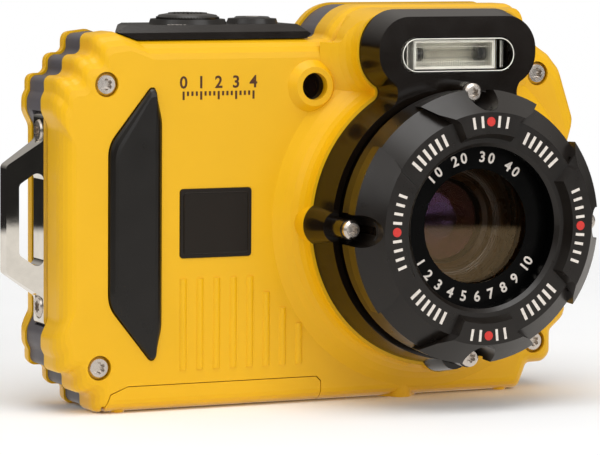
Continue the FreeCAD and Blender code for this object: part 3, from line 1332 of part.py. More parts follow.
SHUTTER = {"x": "shutter_x", "y": "control_y"}
POWER = {"x": "power_x", "y": "control_y"}
for name, spot, radius in (("shutter_bezel", SHUTTER, "shutter_radius"), ("power_bezel", POWER, "power_radius")):
    turned(name, [(radius + " + 0.3", "panel_top"), (radius + " + button_gap + bezel_width", "panel_top"),
                  (radius + " + button_gap + bezel_width - 0.3", "panel_top + bezel_height"),
                  (radius + " + button_gap", "panel_top + bezel_height"),
                  (radius + " + button_gap", "panel_top + 0.1")], **spot)
turned("shutter_button", [("0", "panel_top - 6.4"), ("1.6", "panel_top - 6.4"), ("1.6", "panel_top"),
                          ("shutter_radius", "panel_top"), ("shutter_radius", "panel_top + 1.1"),
                          ("shutter_radius - 0.5", "panel_top + 1.6"),
                          ("0.6 * shutter_radius", "panel_top + shutter_height - 0.1"),
                          ("0", "panel_top + shutter_height")], **SHUTTER)
turned("power_button", [("0", "panel_top - 5.6"), ("1.2", "panel_top - 5.6"), ("1.2", "panel_top - 0.4"),
                        ("power_radius", "panel_top - 0.4"), ("power_radius", "panel_top + 0.9"),
                        ("power_radius - 0.4", "panel_top + power_height"), ("0", "panel_top + power_height")],
       **POWER)
turned("shutter_spring", [("3.4", "panel_top - shutter_travel - 0.4"), ("4.4", "panel_top - shutter_travel - 0.4"),
                          ("3.4", "panel_top"), ("2.4", "panel_top")], **SHUTTER)

# Back

glass = slab("display_window", rectangle("display_x - display_width / 2", "display_z - display_height / 2",
                                         "display_width", "display_height"),
             "XZ_Plane", "-(back_y + display_proud)", "display_glass")
rounded(glass, "1.4", along(Y_AXIS))
module = slab("display_module", rectangle("display_x - display_width / 2 + 2", "display_z - display_height / 2 + 2",
                                          "display_width - 4", "display_height - 4"),
              "XZ_Plane", "-(back_y + display_proud - display_glass - 0.1)", "module_thickness")
rounded(module, "0.5", along(Y_AXIS))

for name, side, level in (("record_key", "-", "key_upper_z"), ("mode_key", "+", "key_upper_z"),
                          ("play_key", "-", "key_lower_z"), ("delete_key", "+", "key_lower_z")):
    turned(name, [("0", "key_front"), ("key_radius", "key_front"), ("key_radius", "key_back - 0.3"),
                  ("key_radius - 0.3", "key_back"), ("0", "key_back")],
           x=f"keys_x {side} key_offset", z=level, turn=BACKWARD)
turned("set_key", [("0", "key_front"), ("set_radius", "key_front"), ("set_radius", "key_back - 0.3"),
                   ("set_radius - 0.3", "key_back"), ("0", "key_back")], x="keys_x", z="pad_z", turn=BACKWARD)
turned("direction_pad", [("set_radius + 0.3", "key_back - 2"), ("pad_radius", "key_back - 2"),
                         ("pad_radius", "key_back - 0.6"), ("pad_radius - 1", "key_back"),
                         ("set_radius + 1.1", "key_back"), ("set_radius + 0.3", "key_back - 0.5")],
       x="keys_x", z="pad_z", turn=BACKWARD)
turned("pad_rubber", [("set_radius + 0.5", "key_front - 0.1"), ("pad_radius - 1.2", "key_front - 0.1"),
                      ("pad_radius - 1.2", "key_front + 0.7"), ("set_radius + 0.5", "key_front + 0.7")],
       x="keys_x", z="pad_z", turn=BACKWARD)
rocker_cap = Part.Face(stadium(mm.keys_x, mm.rocker_z, mm.rocker_half, mm.rocker_radius, mm.key_front))
feature("zoom_rocker", rocker_cap.extrude(V(0, mm.key_length, 0)))
key_mat = slab("key_mat", [("keys_x - 9.8", "key_lower_z - 5"), ("keys_x + 9.8", "key_lower_z - 5"),
                           ("keys_x + 9.8", "rocker_z + 4"), ("keys_x - 4", "rocker_z + 4"),
                           ("keys_x - 7.6", "rocker_z + 0.4"), ("keys_x - 7.6", "rocker_z - 4.4"),
                           ("keys_x - 9.8", "rocker_z - 4.4")],
               "XZ_Plane", "-(board_front + board_thickness + 0.1 + mat_thickness)", "mat_thickness")
rounded(key_mat, "0.8", along(Y_AXIS))

# Battery door

def door_shape():
    case = case_front_block().fuse([case_rear_block(),
                                    prism(case_outline(0.0), mm.band_front, mm.band_back)])
    outer = case.common(door_prism())
    foot_ys = (mm.face_y + FOOT_INSET, mm.back_y - FOOT_INSET)
    outer = outer.fuse([small_foot(mm.hinge_x + 2.0, y) for y in foot_ys])
    inside = cuboid(mm.hinge_x + 1.3, mm.door_right - 0.9, mm.inside_front, mm.inside_back,
                    mm.case_bottom + mm.door_plate, mm.door_lip + 1.0)
    middle = mm.spine_y
    lug_half = mm.lug_depth / 2 + 0.2
    lug_room = cuboid(mm.hinge_x - 3.0, mm.hinge_x + 1.3, middle - lug_half, middle + lug_half, -1.0, 6.0)
    pin = disc(mm.hinge_pin_radius + mm.hinge_clearance, middle - 6.3, middle + 6.3, mm.hinge_x, mm.hinge_z)
    lock_right = mm.door_right - 1.6
    lock_room = cuboid(lock_right - mm.lock_width - mm.lock_travel - 0.2, lock_right + 0.2,
                       middle - mm.lock_length / 2 - 0.15, middle + mm.lock_length / 2 + 0.15,
                       mm.case_bottom - 1.0, mm.case_bottom + mm.lock_thickness + 0.05)
    slot = cuboid(lock_right - 1.0, mm.door_right + 1.0, middle - mm.tongue_width / 2 - 0.15,
                  middle + mm.tongue_width / 2 + 0.15, mm.case_bottom + 0.35, mm.case_bottom + 1.2)
    return outer.cut([inside, lug_room, pin, lock_room, slot])


feature("battery_door", door_shape())
node(rod("hinge_pin", "hinge_pin_radius", "12", "hinge_x", "spine_y - 6", "hinge_z",
         BACKWARD), "hinge_pin")


def lock_shape():
    """Slider under the door with grip ridges and a tongue."""
    middle = mm.spine_y
    right = mm.door_right - 1.6 - mm.lock_travel
    left = right - mm.lock_width
    low = mm.case_bottom
    plate_part = cuboid(left, right, middle - mm.lock_length / 2, middle + mm.lock_length / 2,
                        low, low + mm.lock_thickness)
    tongue = cuboid(right - 1.0, mm.door_right - 0.2, middle - mm.tongue_width / 2, middle + mm.tongue_width / 2,
                    low + 0.4, low + mm.lock_thickness)
    grooves = [cuboid(left + 1.1 + 1.0 * number, left + 1.6 + 1.0 * number, middle - mm.lock_length / 2 + 1.2,
                      middle + mm.lock_length / 2 - 1.2, low - 1.0, low + 0.3) for number in range(5)]
    return plate_part.fuse([tongue]).cut(grooves)


feature("door_lock", lock_shape())
seal_outer = block("door_seal_outer", "holder_left", "holder_front + 0.1", "case_bottom + door_plate",
                   "holder_right - holder_left + usb_thickness", "holder_back - holder_front - 0.2",
                   "door_lip - case_bottom - door_plate - 0.1")
seal_inner = block("door_seal_inner", "holder_left + 1.4", "holder_front + 1.5", "case_bottom",
                   "holder_right - holder_left + usb_thickness - 2.8", "holder_back - holder_front - 3", "8")
node(cut("door_seal", seal_outer, seal_inner), "door_seal")

# Battery, card and what holds them

battery = slab("battery", rectangle("battery_left", "battery_front", "battery_width", "battery_thickness"),
               "XY_Plane", "battery_end", "battery_length")
rounded(battery, "1.2", along(Z_AXIS))
slab("memory_card", [("battery_left + 4", "battery_end"), ("battery_left + 4 + card_width", "battery_end"),
                     ("battery_left + 4 + card_width", "battery_end + card_length - card_chamfer"),
                     ("battery_left + 4 + card_width - card_chamfer", "battery_end + card_length"),
                     ("battery_left + 4", "battery_end + card_length")],
     "XZ_Plane", "-(card_front + card_thickness)", "card_thickness")
holder = slab("battery_holder", rectangle("holder_left", "holder_front", "holder_right - holder_left",
                                          "holder_back - holder_front"),
              "XY_Plane", "holder_bottom", "holder_top - holder_bottom")
for corners, level in ((rectangle("battery_left - fit_gap", "battery_front - fit_gap",
                                  "battery_width + 2 * fit_gap", "battery_thickness + 2 * fit_gap"),
                        "holder_top - holder_wall"),
                       (rectangle("battery_left + 4 - fit_gap", "card_front - fit_gap",
                                  "card_width + 2 * fit_gap", "card_thickness + 2 * fit_gap"),
                        "battery_end + card_length + fit_gap")):
    well = new_sketch(holder, "XY_Plane", level)
    draw_polygon(well, corners)
    pocket(holder, well, "holder_top")

contacts = [block(f"contact_{number}", f"battery_left + {5 + 4 * number}",
                  "battery_front + battery_thickness / 2 - 1.5", "battery_end + battery_length", "1.4", "3", "1.2")
            for number in range(3)]
contact_bar = block("contact_bar", "battery_left + 4", "battery_front + battery_thickness / 2 - 2",
                    "battery_end + battery_length + 0.8", "11.4", "4", "0.6")
node(fuse("battery_contacts", contact_bar, *contacts), "battery_contacts")
usb_shell = block("usb_shell", "holder_right", "battery_front + 1", "holder_bottom",
                  "usb_thickness", "usb_width", "usb_length")
usb_room = block("usb_room", "holder_right + 0.4", "battery_front + 1.4", "holder_bottom - 1",
                 "usb_thickness - 0.8", "usb_width - 0.8", "usb_length")
node(cut("usb_socket", usb_shell, usb_room), "usb_socket")

# Boards and speaker

board = slab("main_board", [("inside_left + floor_chamfer", "cavity_floor + 0.6"),
                            ("inside_right - floor_chamfer", "cavity_floor + 0.6"),
                            ("inside_right - 0.6", "cavity_floor + floor_chamfer"),
                            ("inside_right - 0.6", "inside_top - roof_chamfer"),
                            ("inside_right - roof_chamfer", "inside_top - 0.6"),
                            ("inside_left + roof_chamfer", "inside_top - 0.6"),
                            ("inside_left + 0.6", "inside_top - roof_chamfer"),
                            ("inside_left + 0.6", "cavity_floor + floor_chamfer")],
             "XZ_Plane", "-(board_front + board_thickness)", "board_thickness")
node(rod("speaker", "speaker_radius", "speaker_thickness", "lens_x + speaker_radius",
         "board_front - speaker_thickness", "cavity_floor + speaker_radius + 0.8", BACKWARD), "speaker")

# Tripod socket

turned("tripod_socket", [("bush_bore", "0"), ("bush_radius", "0"), ("bush_radius", "bush_height"),
                         ("0", "bush_height"), ("0", "bush_depth"), ("bush_bore", "bush_depth")])

doc.recompute()

problems = []
for item in doc.Objects:
    if "Invalid" in item.State or "Error" in item.State:
        problems.append(f"{item.Name}: {item.State}")
for item in nodes:
    if item.Shape.isNull() or not item.Shape.isValid() or not item.Shape.Solids:
        problems.append(f"{item.Label}: no valid solid")
if problems:
    raise RuntimeError("; ".join(problems))

os.makedirs("parts", exist_ok=True)
for item in nodes:
    item.Shape.exportStep(os.path.join("parts", item.Label + ".step"))
    print(f"{item.Label:18s} {len(item.Shape.Solids)} solid, {item.Shape.Volume:9.1f} mm3")
print(len(nodes), "nodes")
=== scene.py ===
"""Finishes, printed marks, knurls, pleats, optics and studio of a waterproof compact camera.

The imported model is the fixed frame. Lengths are metres, worked out from sizes in millimetres,
and every place is taken from the frame's own nodes.
"""

import json
import logging
import math
from collections.abc import Iterable, Sequence
from dataclasses import dataclass, field, fields, replace
from enum import Enum

import bmesh
import bpy
from mathutils import Matrix, Vector


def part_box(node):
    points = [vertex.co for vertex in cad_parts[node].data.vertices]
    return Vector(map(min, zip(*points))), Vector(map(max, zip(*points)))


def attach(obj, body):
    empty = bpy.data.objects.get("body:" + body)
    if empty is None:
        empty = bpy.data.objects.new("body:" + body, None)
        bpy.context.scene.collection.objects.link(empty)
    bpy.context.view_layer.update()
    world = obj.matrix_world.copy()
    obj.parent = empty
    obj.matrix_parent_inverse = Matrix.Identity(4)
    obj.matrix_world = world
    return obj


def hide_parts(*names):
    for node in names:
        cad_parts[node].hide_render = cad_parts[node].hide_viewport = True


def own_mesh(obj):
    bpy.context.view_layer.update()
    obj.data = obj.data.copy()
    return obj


LOG = logging.getLogger("camera_scene")

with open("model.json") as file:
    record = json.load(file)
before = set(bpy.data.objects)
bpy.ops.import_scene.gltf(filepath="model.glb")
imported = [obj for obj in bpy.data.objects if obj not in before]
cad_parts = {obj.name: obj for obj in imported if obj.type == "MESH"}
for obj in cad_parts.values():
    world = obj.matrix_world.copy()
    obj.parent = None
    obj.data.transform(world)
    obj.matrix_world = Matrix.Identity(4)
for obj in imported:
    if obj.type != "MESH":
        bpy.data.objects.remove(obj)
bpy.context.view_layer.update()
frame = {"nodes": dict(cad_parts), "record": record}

MM = 0.001
ROUND_SEGMENTS = 96
SMALL_SEGMENTS = 48
RIM_SEGMENTS = 64
SLEEVE_SEGMENTS = 32
DOT_SIDES = 12
CORNER_STEPS = 12
BEAD_SIDES = 10
COIL_SIDES = 6
COIL_STEPS = 36
DIGIT_STEPS = 3
MERGE_GAP = 1e-7
PRINT_HEIGHT = 0.04 * MM
STROKE_HEIGHT = 2 * PRINT_HEIGHT
PRINT_BOLDNESS = 0.032
DIGIT_SHARE = 0.72
SINK = 0.01 * MM
PATTERN_LOW = 0.3
PATTERN_HIGH = 0.7
WHITE_LIGHT = (1.0, 1.0, 1.0, 1.0)

Colour = tuple[float, float, float]
Point = tuple[float, float, float]
Outline = list[tuple[float, float]]
Socket = bpy.types.NodeSocket
Mesh = bpy.types.Mesh
Material = bpy.types.Material


class Body(str, Enum):
    """The bodies that a dressed piece can ride on."""

    CASE = "case"
    SHUTTER = "shutter"
    POWER = "power"
    ROCKER = "rocker"
    RECORD = "record"
    MODE = "mode"
    PLAY = "play"
    DELETE = "delete"
    SET = "set"
    PAD = "pad"
    DOOR = "door"
    LOCK = "lock"
    INNER_BARREL = "inner_barrel"


class Slot(str, Enum):
    """The record's material slots, each with one finish."""

    SHELL = "shell_yellow"
    BAND = "band_plastic"
    HOUSING = "housing_plastic"
    RING = "ring_plastic"
    MASK = "mask_plastic"
    SMOKED = "smoked_plastic"
    GRIP = "grip_rubber"
    BADGE = "badge_finish"
    SCREW = "screw_steel"
    CHROME = "polished_chrome"
    SEAL = "seal_rubber"
    WINDOW = "window_glass"
    LENS = "lens_glass"
    CLEAR = "clear_plastic"
    BRIGHT = "bright_metal"
    TUBE = "tube_glass"
    SLEEVE = "sleeve_plastic"
    LAMP = "lamp_plastic"
    CONTROL = "control_plastic"
    DISPLAY = "display_glass"
    MODULE = "display_plastic"
    BATTERY = "battery_sleeve"
    CARD = "card_plastic"
    FRAME = "frame_plastic"
    BRASS = "contact_brass"
    BOARD = "board_laminate"
    BARREL = "barrel_plastic"


def linear(red: float, green: float, blue: float) -> Colour:
    """Turn a screen colour into scene light.

    Args:
        red: Red from 0 to 255, as seen on a screen.
        green: Green, in the same way.
        blue: Blue, in the same way.

    Returns:
        The colour in linear light, from 0 to 1.
    """

    def channel(value: float) -> float:
        """Give one channel in linear light."""
        share = value / 255
        return share / 12.92 if share <= 0.04045 else ((share + 0.055) / 1.055) ** 2.4

    return channel(red), channel(green), channel(blue)


def shaded(colour: Colour, share: float) -> tuple[float, float, float, float]:
    """Give a colour made lighter or darker by a share, with full opacity."""
    return tuple(min(1.0, part * share) for part in colour) + (1.0,)


class Nodes:
    """A node tree under construction, with short calls that add, set and link its nodes."""

    def __init__(self, tree: bpy.types.NodeTree) -> None:
        """Keep the tree."""
        self.tree = tree

    def link(self, start: Socket, end: Socket) -> None:
        """Join an output to an input."""
        self.tree.links.new(start, end)

    def node(self, kind: str, links: dict[str | int, Socket] | None = None, **values: object) -> bpy.types.Node:
        """Add a node.

        Args:
            kind: The node's type.
            links: The sockets that feed its inputs, by the input's name or number.
            values: Its properties, and its inputs by name with an underscore for a space.

        Returns:
            The new node.
        """
        made = self.tree.nodes.new(kind)
        for name, value in values.items():
            if hasattr(made, name):
                setattr(made, name, value)
            else:
                made.inputs[name.replace("_", " ")].default_value = value
        for name, socket in (links or {}).items():
            self.link(socket, made.inputs[name])
        return made

    def maths(self, operation: str, first: Socket, second: Socket | float | None = None) -> Socket:
        """Work out one or two values.

        Args:
            operation: What is done with them.
            first: The first value.
            second: The second value, as a socket or a number.

        Returns:
            The result.
        """
        made = self.node("ShaderNodeMath", {0: first}, operation=operation)
        if isinstance(second, (int, float)):
            made.inputs[1].default_value = second
        elif second is not None:
            self.link(second, made.inputs[1])
        return made.outputs[0]

    def length(self, vector: Socket) -> Socket:
        """Give the length of a vector."""
        return self.node("ShaderNodeVectorMath", {0: vector}, operation="LENGTH").outputs["Value"]

    def height(self, vector: Socket) -> Socket:
        """Give the upright part of a vector."""
        return self.node("ShaderNodeSeparateXYZ", {0: vector}).outputs["Z"]

    def spread(
        self, value: Socket, before: tuple[float, float], after: tuple[float, float], kind: str = "LINEAR"
    ) -> Socket:
        """Spread a value over another range.

        Args:
            value: The value.
            before: The range that it comes in.
            after: The range that it is spread over.
            kind: How it runs between the two ends.

        Returns:
            The value in its new range.
        """
        made = self.node("ShaderNodeMapRange", {"Value": value}, interpolation_type=kind)
        for name, number in zip(("From Min", "From Max", "To Min", "To Max"), before + after):
            made.inputs[name].default_value = number
        return made.outputs["Result"]

    def mixed(self, share: Socket, first: Socket, second: Socket) -> Socket:
        """Mix two shaders, where a share of 1 gives the second."""
        return self.node("ShaderNodeMixShader", {0: share, 1: first, 2: second}).outputs[0]


class Shader(Nodes):
    """A material under construction, with its main shader."""

    def __init__(self, name: str) -> None:
        """Start a material.

        Args:
            name: The material's name.
        """
        self.material = bpy.data.materials.new(name)
        self.material.use_nodes = True
        super().__init__(self.material.node_tree)
        self.main = self.tree.nodes["Principled BSDF"]
        self.place = self.node("ShaderNodeTexCoord").outputs["Object"]

    def set(self, **values: float | Sequence[float]) -> None:
        """Set sockets of the main shader; an underscore stands for a space."""
        for name, value in values.items():
            self.main.inputs[name.replace("_", " ")].default_value = value

    def noise(self, size_mm: float, detail: float = 2.0) -> Socket:
        """Give a noise pattern from 0 to 1 in the object's own place, with patches of a size."""
        pattern = self.node("ShaderNodeTexNoise", {"Vector": self.place}, Scale=1 / (size_mm * MM), Detail=detail)
        return pattern.outputs["Fac"]

    def cells(self, size_mm: float, **kind: str) -> Socket:
        """Give a pattern of small cells of a size, in the object's own place."""
        cell = self.node("ShaderNodeTexVoronoi", {"Vector": self.place}, Scale=1 / (size_mm * MM), **kind)
        return cell.outputs["Distance"]

    def tint(self, pattern: Socket, shades: Sequence[Sequence[float]], ends: tuple[float, float] | None = None) -> None:
        """Colour the main shader between two shades along a pattern.

        Args:
            pattern: The pattern, from 0 to 1.
            shades: The two shades.
            ends: The pattern's values at which they are reached.
        """
        ramp = self.node("ShaderNodeValToRGB", {"Fac": pattern})
        for element, place, shade in zip(ramp.color_ramp.elements, ends or (PATTERN_LOW, PATTERN_HIGH), shades):
            element.position = place
            element.color = shade
        self.link(ramp.outputs["Color"], self.main.inputs["Base Color"])

    def polish(self, pattern: Socket, low: float, high: float) -> None:
        """Let the roughness run between two values along a pattern."""
        self.link(self.spread(pattern, (PATTERN_LOW, PATTERN_HIGH), (low, high)), self.main.inputs["Roughness"])

    def relief(self, *layers: tuple[Socket, float]) -> None:
        """Roughen the surface.

        Args:
            layers: Patterns from 0 to 1, each with the height in millimetres that 1 stands for.
        """
        normal = None
        for pattern, height in layers:
            links = {"Height": pattern} if normal is None else {"Height": pattern, "Normal": normal}
            normal = self.node("ShaderNodeBump", links, Strength=1.0, Distance=height * MM).outputs["Normal"]
        self.link(normal, self.main.inputs["Normal"])


@dataclass(frozen=True)
class Finish:
    """What every finish has: a name, a colour and a roughness."""

    name: str
    colour: Colour
    roughness: float = 0.4

    def start(self, patches: tuple[float, float], shades: Sequence[float], polish: Sequence[float]) -> Shader:
        """Start the material, with uneven shade and polish.

        Args:
            patches: The size of the uneven patches in millimetres, and their finer layers.
            shades: The darkest and lightest share of the colour.
            polish: The least and greatest share of the roughness, or nothing where it is set later.

        Returns:
            The shader, ready for its other values.
        """
        shader = Shader(self.name)
        pattern = shader.noise(*patches)
        shader.tint(pattern, [shaded(self.colour, share) for share in shades])
        if polish:
            shader.polish(pattern, *(self.roughness * share for share in polish))
        return shader


@dataclass(frozen=True)
class MouldedPlastic(Finish):
    """Opaque plastic from a spark-eroded mould, with a fine grain and handled patches."""

    specular: float = 0.5
    grain_mm: float = 0.22
    grain_height_mm: float = 0.004
    cloud_mm: float = 9.0
    cloud: float = 0.05
    coat: float = 0.0

    def build(self) -> Material:
        """Make the material.

        Returns:
            The material, with its shader.
        """
        shader = self.start((self.cloud_mm, 4.0), (1 - self.cloud, 1 + self.cloud), ())
        shader.set(Specular_IOR_Level=self.specular, Coat_Weight=self.coat, Coat_Roughness=0.15)
        shader.polish(shader.noise(self.cloud_mm / 2, 5.0), self.roughness * 0.9, self.roughness * 1.12)
        shader.relief(
            (shader.noise(self.grain_mm, 3.0), self.grain_height_mm),
            (shader.cells(self.grain_mm * 1.8), self.grain_height_mm * 0.6),
        )
        return shader.material


@dataclass(frozen=True)
class Rubber(Finish):
    """Soft rubber with a matt, closely pitted skin."""

    pit_mm: float = 0.3
    pit_height_mm: float = 0.01

    def build(self) -> Material:
        """Make the material.

        Returns:
            The material, with its shader.
        """
        shader = self.start((5.0, 5.0), (0.9, 1.12), (0.88, 1.1))
        shader.set(Specular_IOR_Level=0.4)
        shader.relief((shader.cells(self.pit_mm), self.pit_height_mm), (shader.noise(0.12), self.pit_height_mm * 0.3))
        return shader.material


@dataclass(frozen=True)
class Metal(Finish):
    """Bare or plated metal, with a faint grain and uneven polish."""

    grain_mm: float = 0.15
    grain_height_mm: float = 0.001
    metallic: float = 1.0

    def build(self) -> Material:
        """Make the material.

        Returns:
            The material, with its shader.
        """
        shader = self.start((3.0, 4.0), (0.93, 1.05), (0.8, 1.25))
        shader.set(Metallic=self.metallic)
        shader.relief((shader.noise(self.grain_mm), self.grain_height_mm))
        return shader.material


@dataclass(frozen=True)
class Glass(Finish):
    """Clear glass or plastic, with a faint haze and an optional coating colour in its reflection."""

    ior: float = 1.5
    coating: Colour = (1.0, 1.0, 1.0)
    specular: float = 0.5
    ripple_height_mm: float = 0.0006
    alpha: float = 1.0

    def build(self) -> Material:
        """Make the material.

        Returns:
            The material, with its shader.
        """
        shader = self.start((6.0, 3.0), (0.985, 1.0), (0.6, 1.4))
        shader.set(Transmission_Weight=1.0, IOR=self.ior, Specular_IOR_Level=self.specular, Alpha=self.alpha)
        shader.set(Specular_Tint=self.coating + (1.0,))
        shader.relief((shader.noise(4.0, 1.0), self.ripple_height_mm))
        return shader.material


@dataclass(frozen=True)
class Print(Finish):
    """Pad-printed ink, slightly uneven and a little glossy."""

    def build(self) -> Material:
        """Make the material.

        Returns:
            The material, with its shader.
        """
        shader = self.start((0.5, 4.0), (0.9, 1.06), (0.85, 1.2))
        shader.set(Specular_IOR_Level=0.4)
        shader.relief((shader.noise(0.1), 0.002))
        return shader.material


@dataclass(frozen=True)
class Laminate(Finish):
    """Circuit board laminate, with copper tracks under its lacquer."""

    track: Colour = (1.0, 1.0, 1.0)
    track_mm: float = 0.9
    track_ends: tuple[float, float] = (0.05, 0.12)

    def build(self) -> Material:
        """Make the material.

        Returns:
            The material, with its shader.
        """
        shader = Shader(self.name)
        shader.set(Specular_IOR_Level=0.55)
        tracks = shader.cells(self.track_mm, feature="DISTANCE_TO_EDGE", distance="EUCLIDEAN")
        shader.tint(tracks, (shaded(self.track, 1.0), shaded(self.colour, 1.0)), self.track_ends)
        shader.polish(shader.noise(2.0), self.roughness * 0.7, self.roughness)
        shader.relief((tracks, 0.01))
        return shader.material


SLOT_FINISHES = {
    Slot.SHELL: MouldedPlastic(
        "yellow_case", linear(232, 177, 12), 0.36, 0.3, grain_mm=0.25, grain_height_mm=0.003, cloud_mm=14.0, cloud=0.02
    ),
    Slot.BAND: MouldedPlastic("grey_band", linear(84, 80, 84), 0.45, 0.45, grain_mm=0.25, grain_height_mm=0.006),
    Slot.HOUSING: MouldedPlastic(
        "black_housing", linear(19, 13, 8), 0.17, 0.42, grain_mm=0.25, grain_height_mm=0.002, cloud_mm=8.0, cloud=0.08
    ),
    Slot.RING: MouldedPlastic("black_ring", linear(20, 15, 11), 0.3, 0.42, grain_mm=0.2, cloud_mm=6.0, cloud=0.08),
    # Near-black with almost no shine: partly the mask's own black plastic, partly painted shade of the recess it sits
    # in.
    Slot.MASK: MouldedPlastic(
        "mask_black_and_painted_shade", linear(3, 3, 3), 0.25, 0.08, grain_mm=0.3, grain_height_mm=0.0005, cloud_mm=6.0, cloud=0.1
    ),
    Slot.SMOKED: MouldedPlastic(
        "smoked_window", linear(14, 7, 5), 0.08, 0.3, grain_mm=0.5, grain_height_mm=0.0005, cloud_mm=3.0, cloud=0.15
    ),
    Slot.GRIP: Rubber("grip_black", linear(13, 9, 5), 0.3, pit_mm=0.2, pit_height_mm=0.003),
    Slot.BADGE: MouldedPlastic("badge_black", linear(26, 19, 11), 0.4, 0.25, grain_mm=0.15, grain_height_mm=0.003),
    Slot.SCREW: Metal("screw_steel", linear(214, 206, 198), 0.26, grain_mm=0.2, grain_height_mm=0.002),
    Slot.CHROME: Metal("polished_chrome", linear(232, 229, 222), 0.035, grain_mm=2.0, grain_height_mm=0.0008),
    Slot.SEAL: Rubber("seal_black", linear(24, 23, 24), 0.6),
    Slot.WINDOW: Glass("window_glass", linear(252, 249, 242), 0.006, 1.5, linear(255, 222, 170), 0.12),
    Slot.LENS: Glass("coated_lens", linear(196, 160, 134), 0.09, 1.62, linear(128, 98, 150), 0.3),
    Slot.CLEAR: Glass("clear_plastic", linear(254, 253, 248), 0.02, 1.49, alpha=0.2),
    Slot.BRIGHT: Metal(
        "bright_reflector", linear(255, 249, 236), 0.3, grain_mm=0.4, grain_height_mm=0.002, metallic=0.06
    ),
    Slot.TUBE: Glass("tube_glass", linear(250, 246, 234), 0.02, 1.47, alpha=0.3),
    Slot.SLEEVE: MouldedPlastic("sleeve_black", linear(28, 28, 32), 0.3, grain_mm=0.4, grain_height_mm=0.002),
    Slot.LAMP: MouldedPlastic("lamp_white", linear(228, 226, 215), 0.3, grain_mm=0.3, grain_height_mm=0.003),
    Slot.CONTROL: MouldedPlastic("control_black", linear(24, 21, 19), 0.3, cloud_mm=5.0, cloud=0.1),
    Slot.DISPLAY: MouldedPlastic(
        "display_glass", linear(14, 15, 18), 0.06, 0.6, grain_mm=3.0, grain_height_mm=0.0005,
        cloud_mm=20.0, cloud=0.1, coat=0.5,
    ),
    Slot.MODULE: MouldedPlastic("module_grey", linear(120, 124, 128)),
    Slot.BATTERY: MouldedPlastic("battery_sleeve", linear(44, 52, 66), 0.35, grain_mm=0.5, grain_height_mm=0.003),
    Slot.CARD: MouldedPlastic("card_black", linear(30, 34, 44), 0.45),
    Slot.FRAME: MouldedPlastic("frame_grey", linear(60, 62, 64), 0.5),
    Slot.BRASS: Metal("contact_brass", linear(214, 172, 96), 0.24, grain_mm=0.2, grain_height_mm=0.002),
    Slot.BOARD: Laminate("board_green", linear(18, 76, 50), track=linear(42, 112, 66)),
    Slot.BARREL: MouldedPlastic("barrel_black", linear(62, 34, 9), 0.28, 0.4, grain_mm=0.2, grain_height_mm=0.002),
}


class Ink(Enum):
    """The inks of the printed marks."""

    WHITE = Print("white_print", linear(222, 213, 203), 0.5)
    RED = Print("red_print", linear(204, 46, 38), 0.42)
    DARK = Print("dark_print", linear(78, 40, 8), 0.5)
    GREY = Print("grey_print", linear(150, 150, 150), 0.5)
    GREEN = Print("green_print", linear(70, 190, 110))


class Finishes:
    """Builds each finish once and hands it out."""

    def __init__(self) -> None:
        """Build the finishes of the record's slots and the inks."""
        self._made = {slot: finish.build() for slot, finish in SLOT_FINISHES.items()}
        self._made.update({ink: ink.value.build() for ink in Ink})

    def of(self, finish: Slot | Ink) -> Material:
        """Give the material of a slot or an ink."""
        return self._made[finish]

    def dress_nodes(self, rows: Sequence[dict]) -> int:
        """Give every CAD node the finish of its slot.

        Args:
            rows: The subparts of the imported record.

        Returns:
            How many nodes were dressed.
        """
        for row in rows:
            node = frame["nodes"][row["node"]]
            node.data.materials.clear()
            node.data.materials.append(self.of(Slot(row["material_slot"])))
        return len(rows)


@dataclass(frozen=True)
class Box:
    """The box round a CAD node, with the middles of its sides."""

    low: Vector
    high: Vector

    @classmethod
    def of(cls, node: str) -> "Box":
        """Read the box of a node from the frame."""
        return cls(*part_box(node))

    @property
    def size(self) -> Vector:
        """How long, deep and high the box is."""
        return self.high - self.low

    @property
    def middle(self) -> Vector:
        """The middle of the box."""
        return (self.low + self.high) / 2

    @property
    def front(self) -> Vector:
        """The middle of the front side."""
        return Vector((self.middle.x, self.low.y, self.middle.z))

    @property
    def back(self) -> Vector:
        """The middle of the back side."""
        return Vector((self.middle.x, self.high.y, self.middle.z))

    @property
    def top(self) -> Vector:
        """The middle of the top."""
        return Vector((self.middle.x, self.middle.y, self.high.z))

    @property
    def foot(self) -> Vector:
        """The middle of the underside."""
        return Vector((self.middle.x, self.middle.y, self.low.z))


def box_of(node: str) -> Box:
    """Give a dataclass field that holds the box of a node."""
    return field(default_factory=lambda: Box.of(node))


@dataclass(frozen=True)
class Bars:
    """A straight row of equal bars along X, or a single bar."""

    length: float
    width: float
    depth: float = STROKE_HEIGHT
    count: int = 1
    pitch: float = 0.0


@dataclass(frozen=True)
class Ring:
    """Equal bars round a circle across Z, with angles in radians from +Y towards +X."""

    count: int
    step: float
    radius: float
    length: float
    width: float
    depth: float = STROKE_HEIGHT
    first: float = 0.0

    def about(self, middle_deg: float) -> "Ring":
        """Turn the bars so that the middle of their row stands at an angle."""
        return replace(self, first=math.radians(middle_deg) - self.step * (self.count - 1) / 2)


@dataclass(frozen=True)
class Dots:
    """Round dots in a round field across Z, row beside row."""

    count: int
    pitch: float
    reach: float
    radius: float
    depth: float = PRINT_HEIGHT


@dataclass(frozen=True)
class Bead:
    """A round wire that follows a rounded rectangle across Z."""

    width: float
    height: float
    corner: float
    wire: float

    @classmethod
    def inside(cls, box: Box, inset: float, corner: float, wire: float) -> "Bead":
        """Run the wire inside the edge of an upright plate, which is wider and higher by an inset."""
        return cls(box.size.x - inset, box.size.z - inset, corner, wire)


@dataclass(frozen=True)
class Coil:
    """A round wire in a coil that climbs along Z, as a spring or the ridge of a screw thread."""

    turns: float
    radius: float
    height: float
    wire: float


